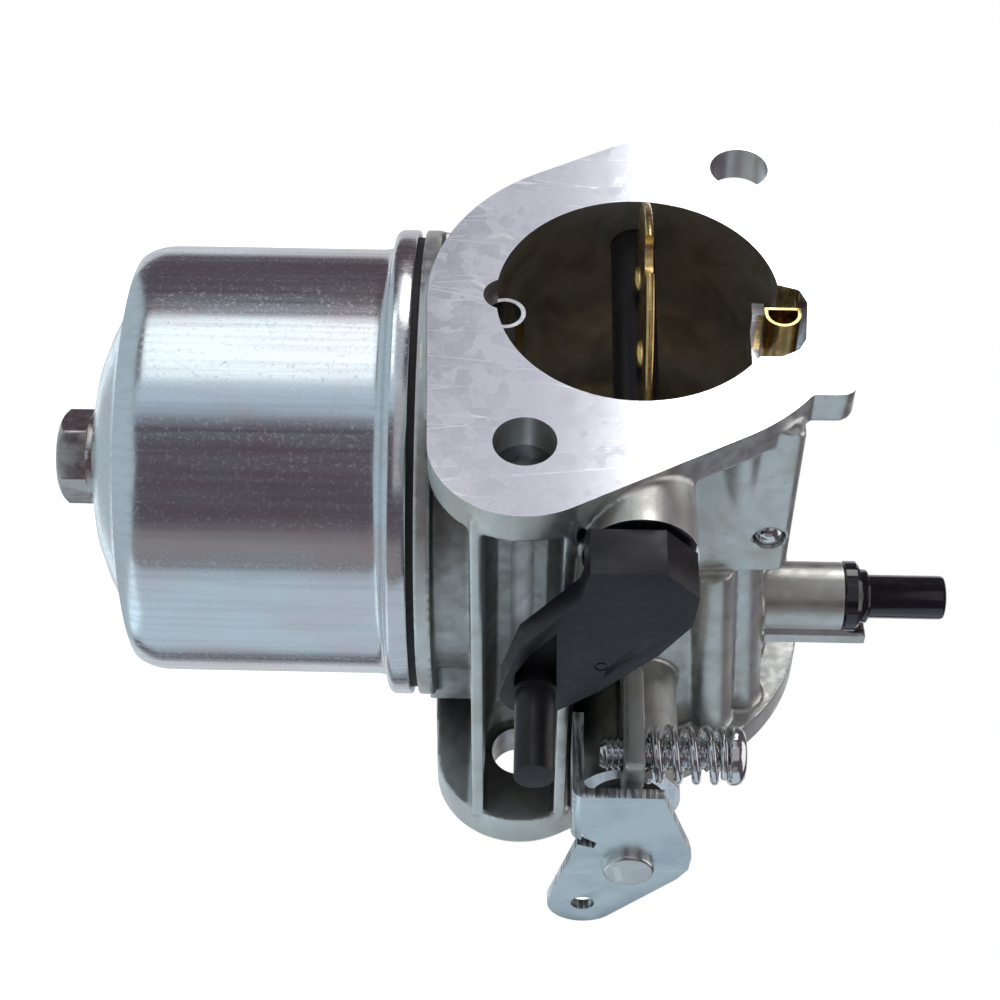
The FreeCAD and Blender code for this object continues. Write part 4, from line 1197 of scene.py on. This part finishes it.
    def bore_tools(self) -> list[bpy.types.Object]:
        """Make the drills and reamers.

        Returns:
            Closed cylinders to cut away.
        """
        low, high = -self.past, self.length + self.past
        drills = [Drill("stud_drill", self.stud_r, low, high, (x, 0, z), Axis.Y)
                  for x, z in self.stud_places()]
        x, z = self.bleed_at
        drills.append(Drill("bleed_drill", self.bleed_r, low, self.bleed_depth, (x, 0, z), Axis.Y))
        choke = (0, self.choke_y, 0)
        y, z = self.throttle_at
        throttle = (0, y, z)
        drills += [
            Drill("choke_shaft_drill", 2.65, -22.4, 29.7, choke, Axis.X),
            Drill("choke_seal_reamer", 4.0, 29.6, 34, choke, Axis.X),
            Drill("throttle_shaft_drill", 3.05, -25.2, 28.2, throttle, Axis.X),
            Drill("throttle_seal_reamer", 4.5, 28.0, 38, throttle, Axis.X),
            Drill("throttle_end_reamer", 3.8, -25.2, -22.0, throttle, Axis.X),
            Drill("idle_drill", self.idle_r, -4, 5, (*self.idle_at, 0), Axis.Z),
            Drill("gallery_drill", 1.82, 6.5, 24, (0, 20.0, 15.6), Axis.X),
            Drill("inlet_drill", 2.52, 20.9, 30, (*self.inlet_at, 0), Axis.Z),
            Drill("transition_drill", 5.0, 19.1, 25, (-4.0, y + 3.5, 0), Axis.Z),
        ]
        return [drill.tool() for drill in drills]

    def build(self) -> bpy.types.Object:
        """Make the body.

        Returns:
            The machined casting, dressed and riding its body.
        """
        body = self.rough_casting()
        left, right = self.wall_x
        near, far = self.wall_y
        low, high = self.wall_z
        wall = [block("wall", (left, near, low), (right, far, high)),
                block("wall", (left, self.pocket_depth, low), (right, far, self.wall_top))]
        throat = boolean(self.throat(), wall, Cut.CUT)
        for tool in self.machine_tools():
            self.paint.dress(tool, "milled_face")
            boolean(body, [tool], Cut.CUT)
        self.paint.dress(throat, "bored_wall")
        boolean(body, [throat], Cut.CUT)
        for tool in self.bore_tools():
            self.paint.dress(tool, "bored_wall")
            boolean(body, [tool], Cut.CUT)
        shade(body, 32)
        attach(body, "body")
        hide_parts("carburetor_body")
        return body


@dataclass
class FloatBowl:
    """Drawn sheet bowl with its rolled lip, the bolt under it and the washer."""

    paint: Paint
    centre_y: float = 28.8
    radius: float = 25.9
    wall: float = 0.8
    lip_r: float = 28.3
    lip_top: float = -25.5
    lip_h: float = 2.8
    low: float = -64.2
    bolt_across: float = 10.2
    bolt_turn: float = -19.5
    bolt_h: float = 4.4
    washer_t: float = 0.5

    def outer_profile(self) -> list[Point2]:
        """Draw the outside of the bowl from the bolt hole to the rim of the lip.

        Returns:
            Radius and height of each point.
        """
        lip_low = self.lip_top - self.lip_h
        profile = [(4.25, self.low), (6.0, self.low)]
        dome = ((9.5, 0.35), (13.0, 1.2), (16.2, 2.55), (19.2, 4.15), (21.6, 5.45))
        profile += [(r, self.low + h) for r, h in dome]
        corner_r = self.radius - 22.6
        for step in range(1, 11):
            turn = math.radians(-52 + 52 * step / 10)
            profile.append((22.6 + corner_r * math.cos(turn) - 0.02,
                            self.low + 9.3 + (corner_r + 1.6) * math.sin(turn)))
        neck = lip_low - 0.15
        profile += [(self.radius, self.low + 11.2), (self.radius, neck - 1.4)]
        profile.append((self.radius + 0.05, neck - 0.8))
        flare = self.lip_r - self.radius - 0.1
        for step in range(1, 7):
            turn = math.radians(90 * step / 6)
            profile.append((self.radius + 0.1 + flare * 0.45 * (1 - math.cos(turn)),
                            neck - 0.6 + 0.75 * math.sin(turn)))
        roll = 0.95
        for step in range(9):
            turn = math.radians(-80 + 80 * step / 8)
            height = lip_low + 1.0 + roll * math.sin(turn)
            profile.append((self.lip_r - roll + roll * math.cos(turn), height))
        profile.append((self.lip_r, self.lip_top - 0.18))
        profile.append((self.lip_r - 0.14, self.lip_top))
        return profile

    def build_bowl(self) -> None:
        """Turn the bowl as one closed sheet."""
        lip_low = self.lip_top - self.lip_h
        inner = [(self.lip_r - self.wall, self.lip_top), (self.lip_r - self.wall, lip_low + self.wall),
                 (self.radius - self.wall, lip_low + self.wall), (self.radius - self.wall, self.low + 11.4),
                 (self.radius - 2.2, self.low + 7.0), (19.0, self.low + 4.9), (12.8, self.low + 2.0),
                 (6.0, self.low + self.wall), (4.25, self.low + self.wall)]
        bowl = lathe("drawn_bowl", self.outer_profile() + inner, (0, self.centre_y, 0), Axis.Z, 256)
        self.paint.dress(shade(bowl, 40), "zinc_bowl")
        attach(bowl, "body")
        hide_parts("float_bowl")

    def build_bolt(self) -> None:
        """Forged hexagon head with a chamfer, a washer face and a dished end, on its shank."""
        seat = self.low - self.washer_t
        corner_r = self.bolt_across / math.sqrt(3)
        corners = []
        for number in range(6):
            turn = math.radians(self.bolt_turn + 60 * number)
            corners.append((corner_r * math.cos(turn), self.centre_y + corner_r * math.sin(turn)))
        head = prism("bolt", rounded(corners, 0.5, 4), seat - self.bolt_h, seat - 0.7, Axis.Z)
        flat = self.bolt_across / 2
        end = seat - self.bolt_h
        chamfer = lathe("chamfer", [(0, end), (flat - 0.5, end), (flat + 0.1, end + 0.35),
                                    (flat + 1.2, end + 1.2), (flat + 1.2, seat), (0, seat)],
                        (0, self.centre_y, 0), Axis.Z, 96)
        boolean(head, [chamfer], Cut.KEEP)
        collar = lathe("collar", [(0, seat - 0.8), (flat + 0.05, seat - 0.8), (flat + 0.1, seat - 0.1),
                                  (flat, seat), (4.0, seat), (4.0, seat + 10.5), (3.6, seat + 10.7),
                                  (0, seat + 10.7)], (0, self.centre_y, 0), Axis.Z, 96)
        boolean(head, [collar], Cut.JOIN)
        rim = flat - 1.1
        profile = [(0, end - 1), (rim, end - 1), (rim, end), (rim - 0.8, end + 0.5), (0, end + 0.55)]
        dish = lathe("dish", profile, (0, self.centre_y, 0), Axis.Z, 96)
        boolean(head, [dish], Cut.CUT)
        soften(head, 0.12, 2, 25)
        self.paint.dress(shade(head, 35), "bolt_steel")
        head.name = "hex_bolt"
        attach(head, "body")
        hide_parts("bowl_bolt")

    def build(self) -> None:
        """Make the bowl and its bolt, and dress the gasket and washer."""
        self.build_bowl()
        self.build_bolt()
        self.paint.dress_node("bowl_gasket", "black_rubber")
        self.paint.dress_node("bowl_bolt_washer", "red_fibre")


@dataclass
class SheetLever:
    """A stamped lever that keeps its CAD outline and gets broken edges."""

    paint: Paint
    edge: float = 0.14

    def build(self) -> None:
        """Make the throttle lever."""
        lever = from_node("throttle_lever", "stamped_lever")
        soften(lever, self.edge, 2, 30)
        self.paint.dress(shade(lever, 30), "zinc_sheet")
        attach(lever, "throttle")
        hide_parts("throttle_lever")


@dataclass
class MouldedLever:
    """The nylon choke lever with its peg and shaft, and the marks its mould leaves."""

    paint: Paint
    edge: float = 0.25
    face_x: float = 38.6
    mark_at: Point2 = (17.6, -3.8)
    mark_r: float = 0.75

    def build(self) -> None:
        """Make the lever."""
        lever = from_node("choke_lever", "nylon_lever")
        soften(lever, self.edge, 3, 30)
        y, z = self.mark_at
        mark = lathe("mark", [(self.mark_r, -0.12), (self.mark_r, 1), (self.mark_r - 0.22, 1),
                              (self.mark_r - 0.22, -0.12)], (self.face_x, y, z), Axis.X, 32)
        boolean(lever, [mark], Cut.CUT)
        self.paint.dress(shade(lever, 32), "black_nylon")
        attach(lever, "choke")
        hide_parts("choke_lever")


@dataclass
class ChokePlate:
    """Brass butterfly with rounded edges and two long dimples by the shaft."""

    paint: Paint
    radius: float = 15.8
    centre_y: float = 7.0
    low: float = 0.4
    thick: float = 0.9
    notch: Point3 = (2.0, -8.8, 2.7)
    dimples: tuple[Point2, ...] = ((-6.0, 3.0), (6.0, 3.0))

    def build(self) -> None:
        """Make the plate."""
        middle = self.low + self.thick / 2
        half = self.thick / 2
        profile: list[Point2] = [(0, -half)]
        for step in range(7):
            turn = math.radians(-90 + 180 * step / 6)
            profile.append((self.radius - 0.3 + 0.3 * math.cos(turn), half * math.sin(turn)))
        profile.append((0, half))
        plate = lathe("choke_disc", profile, (0, self.centre_y, middle), Axis.Z, 160)
        x, y, radius = self.notch
        boolean(plate, [rod("notch", radius, -3, 4, (x, y, 0), Axis.Z, 64)], Cut.CUT)
        for x, y in self.dimples:
            bump = lathe("dimple", [(0, -0.75), (0.5, -0.7), (0.9, -0.5), (1.1, -0.1), (1.1, 0.2), (0, 0.2)],
                         (0, 0, 0), Axis.Z, 24)
            bump.data.transform(Matrix.Diagonal((1.9, 1.0, 1.0, 1.0)))
            bump.data.transform(Matrix.Translation(Vector((x, y, self.low)) * MM))
            boolean(plate, [bump], Cut.JOIN)
        self.paint.dress(shade(plate, 40), "brass")
        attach(plate, "choke")
        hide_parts("choke_plate")


@dataclass
class FuelInlet:
    """Black hose nipple: a collar in the casting and a smooth tube with a rounded mouth."""

    paint: Paint
    at: Point2 = (10.0, 41.0)
    seat: float = 26.9
    collar_r: float = 4.35
    collar_h: float = 2.1
    step_r: float = 3.4
    step_h: float = 1.2
    tube_r: float = 2.7
    tube_l: float = 9.4
    hole_r: float = 1.5

    def build(self) -> None:
        """Turn the nipple."""
        low = self.seat - 5.8
        collar_top = self.seat + self.collar_h
        step_top = collar_top + self.step_h
        top = step_top + self.tube_l
        profile = [(self.hole_r, low), (self.tube_r - 0.2, low), (self.tube_r - 0.2, self.seat),
                   (self.collar_r - 0.3, self.seat), (self.collar_r, self.seat + 0.3),
                   (self.collar_r, collar_top - 0.45), (self.collar_r - 0.4, collar_top - 0.05),
                   (self.step_r + 0.2, collar_top), (self.step_r, collar_top + 0.25),
                   (self.step_r - 0.1, step_top - 0.25), (self.step_r - 0.4, step_top),
                   (self.tube_r + 0.1, step_top), (self.tube_r, step_top + 0.2), (self.tube_r, top - 0.5),
                   (self.tube_r - 0.12, top - 0.15), (self.tube_r - 0.4, top), (self.hole_r + 0.15, top),
                   (self.hole_r, top - 0.2)]
        nipple = lathe("hose_nipple", profile, (*self.at, 0), Axis.Z, 96)
        self.paint.dress(shade(nipple, 35), "gloss_black")
        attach(nipple, "body")
        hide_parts("fuel_inlet_fitting")


@dataclass
class IdleScrew:
    """The idle speed screw with a real thread, and its closed-end spring."""

    paint: Paint
    at: Point2 = (38.0, 35.0)
    seat_z: float = 1.65
    spring_l: float = 9.6
    tip_z: float = -3.3
    core_r: float = 1.6
    crest_r: float = 1.95
    pitch: float = 0.7
    head_r: float = 3.4
    head_h: float = 2.0
    spring_r: float = 2.9
    wire_r: float = 0.5
    turns: float = 5.0
    travel: float = 1.4

    def thread(self, low: float, high: float) -> bpy.types.Object:
        """A rod whose radius follows a helical thread.

        Args:
            low: Bottom of the rod.
            high: Its top, inside the head.

        Returns:
            The rod, closed at both ends.
        """
        around, per_pitch = 48, 8
        rows = int((high - low) / self.pitch * per_pitch)
        points: list[Vector] = []
        for row in range(rows + 1):
            z = low + (high - low) * row / rows
            for step in range(around):
                share = step / around
                phase = (z / self.pitch - share) % 1.0
                ridge = 1 - abs(2 * phase - 1)
                radius = self.core_r + (self.crest_r - self.core_r) * min(1.0, max(0.0, ridge * 1.5 - 0.25))
                radius = min(radius, self.core_r - 0.25 + (z - low) * 0.8)
                points.append(Vector((self.at[0] + radius * math.cos(math.tau * share),
                                      self.at[1] + radius * math.sin(math.tau * share), z)))
        faces: list[list[int]] = [list(range(around)), list(range(rows * around, (rows + 1) * around))]
        for row in range(rows):
            for step in range(around):
                after = (step + 1) % around
                faces.append([row * around + step, row * around + after, (row + 1) * around + after,
                              (row + 1) * around + step])
        return mesh_piece("screw", points, faces)

    def build_screw(self) -> None:
        """Make the screw: pan head with a cross recess, on the thread."""
        seat = self.seat_z + self.spring_l
        top = seat + self.head_h
        centre = (*self.at, 0.0)
        rim = self.head_r
        profile = [(0, seat), (rim - 0.25, seat), (rim, seat + 0.25), (rim, seat + 0.9),
                   (rim - 0.25, seat + 1.45), (rim - 0.8, top - 0.15), (rim - 1.6, top), (0, top)]
        head = lathe("head", profile, centre, Axis.Z, 64)
        x, y = self.at
        arms = [block("arm", (x - across, y - along, top - 1.2), (x + across, y + along, top + 1))
                for across, along in ((1.75, 0.42), (0.42, 1.75))]
        boolean(arms[0], [arms[1]], Cut.JOIN)
        boolean(head, [arms[0]], Cut.CUT)
        screw = joined("threaded_screw", [head, self.thread(self.tip_z, seat + 0.1)])
        self.paint.dress(shade(screw, 32), "bright_steel")
        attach(screw, "idle_screw")
        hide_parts("idle_speed_screw")

    def wire_path(self) -> list[Vector]:
        """Follow the middle of the wire: a closed turn at each end and open turns between.

        Returns:
            Points along the wire.
        """
        low = self.seat_z + self.wire_r
        high = self.seat_z + self.spring_l - self.wire_r
        closed = 0.8
        rise_closed = 2 * self.wire_r * closed
        open_turns = self.turns - 2 * closed
        per_turn = 48
        path = []
        count = int(self.turns * per_turn)
        for step in range(count + 1):
            turn = self.turns * step / count
            if turn < closed:
                z = low + rise_closed * turn / closed
            elif turn > self.turns - closed:
                z = high - rise_closed * (self.turns - turn) / closed
            else:
                z = low + rise_closed + (high - low - 2 * rise_closed) * (turn - closed) / open_turns
            path.append(Vector((self.at[0] + self.spring_r * math.cos(math.tau * turn),
                                self.at[1] + self.spring_r * math.sin(math.tau * turn), z)))
        return path

    def build_spring(self) -> None:
        """Sweep the wire along its path, with cut ends."""
        path = self.wire_path()
        sides = 14
        points: list[Vector] = []
        for number, place in enumerate(path):
            ahead = path[min(number + 1, len(path) - 1)] - path[max(number - 1, 0)]
            ahead.normalize()
            out = Vector((place.x - self.at[0], place.y - self.at[1], 0)).normalized()
            up = ahead.cross(out).normalized()
            for side in range(sides):
                turn = math.tau * side / sides
                points.append(place + (out * math.cos(turn) + up * math.sin(turn)) * self.wire_r)
        last = (len(path) - 1) * sides
        faces: list[list[int]] = [list(range(sides)), list(range(last, last + sides))]
        for number in range(len(path) - 1):
            for side in range(sides):
                after = (side + 1) % sides
                faces.append([number * sides + side, number * sides + after, (number + 1) * sides + after,
                              (number + 1) * sides + side])
        spring = mesh_piece("coil_spring", points, faces)
        self.paint.dress(shade(spring, 50), "bright_steel")
        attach(spring, "body")
        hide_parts("idle_speed_spring")
        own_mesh(spring)

    def build(self) -> None:
        """Make both pieces."""
        self.build_screw()
        self.build_spring()


@dataclass
class SmallPieces:
    """CAD nodes whose shape is right as it is, each with its own finish."""

    paint: Paint
    finishes: dict[str, str] = field(default_factory=lambda: {
        "float": "float_shell",
        "float_hinge_pin": "ground_pin",
        "inlet_seat": "brass",
        "inlet_needle": "black_rubber",
        "needle_clip": "ground_pin",
        "main_nozzle": "brass",
        "main_jet": "brass",
        "pilot_jet": "brass",
        "throttle_shaft": "ground_pin",
        "throttle_plate": "brass",
        "throttle_plate_screws": "ground_pin",
        "throttle_shaft_bushing": "black_nylon",
        "throttle_shaft_seal": "felt",
        "throttle_end_plug": "bright_steel",
        "transition_plug": "bright_steel",
        "choke_shaft_seal": "felt",
        "bowl_vent_tube": "brass",
        "air_bleed_sleeve": "bright_steel",
        "passage_plugs": "bright_steel",
    })

    def build(self) -> None:
        """Dress every node."""
        for node, finish in self.finishes.items():
            self.paint.dress_node(node, finish)


# The studio


@dataclass(frozen=True)
class Card:
    """A soft box that stands upright round the object.

    Its angle runs round the Z axis from the camera's side, positive towards the top of the picture.
    """

    name: str
    angle: float
    distance: float
    width: float
    low: float
    high: float
    brightness: float
    colour: tuple[float, float, float] = (1.0, 1.0, 1.0)


@dataclass(frozen=True)
class Sheet:
    """A level square soft box over or under the object."""

    name: str
    height: float
    side: float
    brightness: float
    colour: tuple[float, float, float]


@dataclass
class Studio:
    """Pale floor, soft boxes and the camera."""

    lens: float = 77.86
    camera_at: Point3 = (175.62, -170.25, -12.23)
    right: Point3 = (-0.02176, -0.00298, 0.99976)
    up: Point3 = (-0.76053, -0.64903, -0.01849)
    back: Point3 = (0.64893, -0.76075, 0.01186)
    middle: Point2 = (0.0, 25.0)
    floor_z: float = -69.3
    cards: tuple[Card, ...] = (
        Card("key_high", 86, 860, 420, 47, 360, 3.0),
        Card("key_middle", 86, 860, 420, -76, 47, 0.5, (0.86, 0.91, 1.0)),
        Card("key_low", 60, 860, 600, -132, -70, 1.6),
        Card("key_floor", 60, 860, 600, -330, -132, 1.1, (0.93, 0.98, 1.0)),
        Card("cool", 31, 900, 320, -500, 20, 0.5, (0.7, 0.87, 1.0)),
        Card("front_high", 12, 900, 900, 20, 620, 0.3),
        Card("front_soft", 50, 860, 460, -40, 330, 0.35, (0.84, 0.93, 1.0)),
        Card("olive", -48, 700, 220, -400, 300, 0.17, (0.95, 0.9, 0.8)),
        Card("bounce", -94, 600, 780, -500, 400, 0.52, (0.72, 0.9, 1.0)),
        Card("behind", 180, 800, 1300, -600, 600, 0.6, (0.9, 0.97, 1.0)),
    )

    sheets: tuple[Sheet, ...] = (
        Sheet("over", 620, 620, 0.95, (1.0, 1.0, 1.0)),
        Sheet("under", -760, 2600, 0.42, (0.74, 0.93, 1.0)),
    )

    def aim(self) -> None:
        """Make the camera."""
        data = bpy.data.cameras.new("camera")
        data.lens = self.lens
        data.sensor_width = 36.0
        data.clip_start = 0.01
        data.clip_end = 20.0
        camera = bpy.data.objects.new("camera", data)
        bpy.context.scene.collection.objects.link(camera)
        columns = Matrix((self.right, self.up, self.back)).transposed()
        camera.matrix_world = Matrix.Translation(Vector(self.camera_at) * MM) @ columns.to_4x4()
        bpy.context.scene.camera = camera

    def soft_box(self, name: str, at: Vector, toward: Vector, size: Point2, brightness: float,
                 colour: tuple[float, float, float]) -> None:
        """Add a rectangular soft box that only light sees.

        Args:
            name: Name of the lamp.
            at: Its place in millimetres.
            toward: The point it faces.
            size: Its width and height in millimetres.
            brightness: How bright it looks; one is white paper.
            colour: Its tint.
        """
        data = bpy.data.lights.new(name, "AREA")
        data.shape = "RECTANGLE"
        data.size, data.size_y = size[0] * MM, size[1] * MM
        data.energy = brightness * math.pi * data.size * data.size_y
        data.color = colour
        lamp = bpy.data.objects.new(name, data)
        bpy.context.scene.collection.objects.link(lamp)
        lamp.location = at * MM
        lamp.rotation_mode = "QUATERNION"
        lamp.rotation_quaternion = (toward - at).to_track_quat("-Z", "Y")
        lamp.visible_camera = False

    def hang(self, card: Card) -> None:
        """Place one upright card.

        Args:
            card: The card.
        """
        turn = math.radians(card.angle)
        way = Vector(self.back) * math.cos(turn) + Vector(self.up) * math.sin(turn)
        way.z = 0
        centre = Vector((*self.middle, (card.low + card.high) / 2))
        at = centre + way.normalized() * card.distance
        size = (card.width, card.high - card.low)
        self.soft_box(card.name, at, centre, size, card.brightness, card.colour)

    def ground(self) -> None:
        """Make the floor, which the camera sees as bright paper."""
        floor = block("floor", (-1500, -1500, self.floor_z - 4), (1500, 1500, self.floor_z))
        material = bpy.data.materials.new("pale_floor")
        material.use_nodes = True
        shader = material.node_tree.nodes["Principled BSDF"]
        tree = Tree(material.node_tree)
        shader.inputs["Base Color"].default_value = (0.85, 0.86, 0.86, 1.0)
        shader.inputs["Roughness"].default_value = 0.8
        shader.inputs["Emission Strength"].default_value = 1.0
        ray = tree.node("LightPath").outputs["Is Camera Ray"]
        glow = tree.mix(ray, (0.12, 0.12, 0.12, 1.0), (0.95, 0.95, 0.95, 1.0))
        tree.feed(shader.inputs["Emission Color"], glow)
        floor.data.materials.append(material)
        floor.visible_glossy = False
        floor.visible_shadow = False
        floor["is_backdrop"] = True

    def air(self) -> None:
        """White surroundings for the camera and a dark warm room for the reflections."""
        world = bpy.data.worlds.new("room")
        world.use_nodes = True
        tree = Tree(world.node_tree)
        world.node_tree.nodes.clear()
        seen = tree.node("Background", {"Color": (1.0, 1.0, 1.0, 1.0), "Strength": 1.0})
        felt = tree.node("Background", {"Color": (0.085, 0.066, 0.082, 1.0), "Strength": 1.0})
        ray = tree.node("LightPath").outputs["Is Camera Ray"]
        both = tree.node("MixShader", {0: ray, 1: felt.outputs[0], 2: seen.outputs[0]})
        tree.node("OutputWorld", {"Surface": both.outputs[0]})
        bpy.context.scene.world = world
        bpy.context.scene.view_settings.view_transform = "Standard"

    def build(self) -> None:
        """Set the studio up."""
        self.aim()
        self.ground()
        self.air()
        for card in self.cards:
            self.hang(card)
        for sheet in self.sheets:
            at = Vector((*self.middle, sheet.height))
            size = (sheet.side, sheet.side)
            self.soft_box(sheet.name, at, Vector((*self.middle, 0)), size, sheet.brightness, sheet.colour)


def main(cad_box: Sequence[Sequence[float]]) -> None:
    """Build every sub-assembly in order, then the studio.

    Args:
        cad_box: Lowest and highest corner of the frame before anything is added; not used.
    """
    logging.basicConfig(level=logging.INFO, format="%(message)s")
    paint = Paint()
    crew: list[tuple[str, Callable[[], object]]] = [
        ("cast body", Casting(paint).build),
        ("float bowl", FloatBowl(paint).build),
        ("throttle lever", SheetLever(paint).build),
        ("choke lever", MouldedLever(paint).build),
        ("choke plate", ChokePlate(paint).build),
        ("fuel inlet", FuelInlet(paint).build),
        ("idle screw", IdleScrew(paint).build),
        ("small pieces", SmallPieces(paint).build),
        ("studio", Studio().build),
    ]
    for title, build in crew:
        build()
        LOG.info("built the %s", title)


if __name__ == "__main__":
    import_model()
    main(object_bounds())
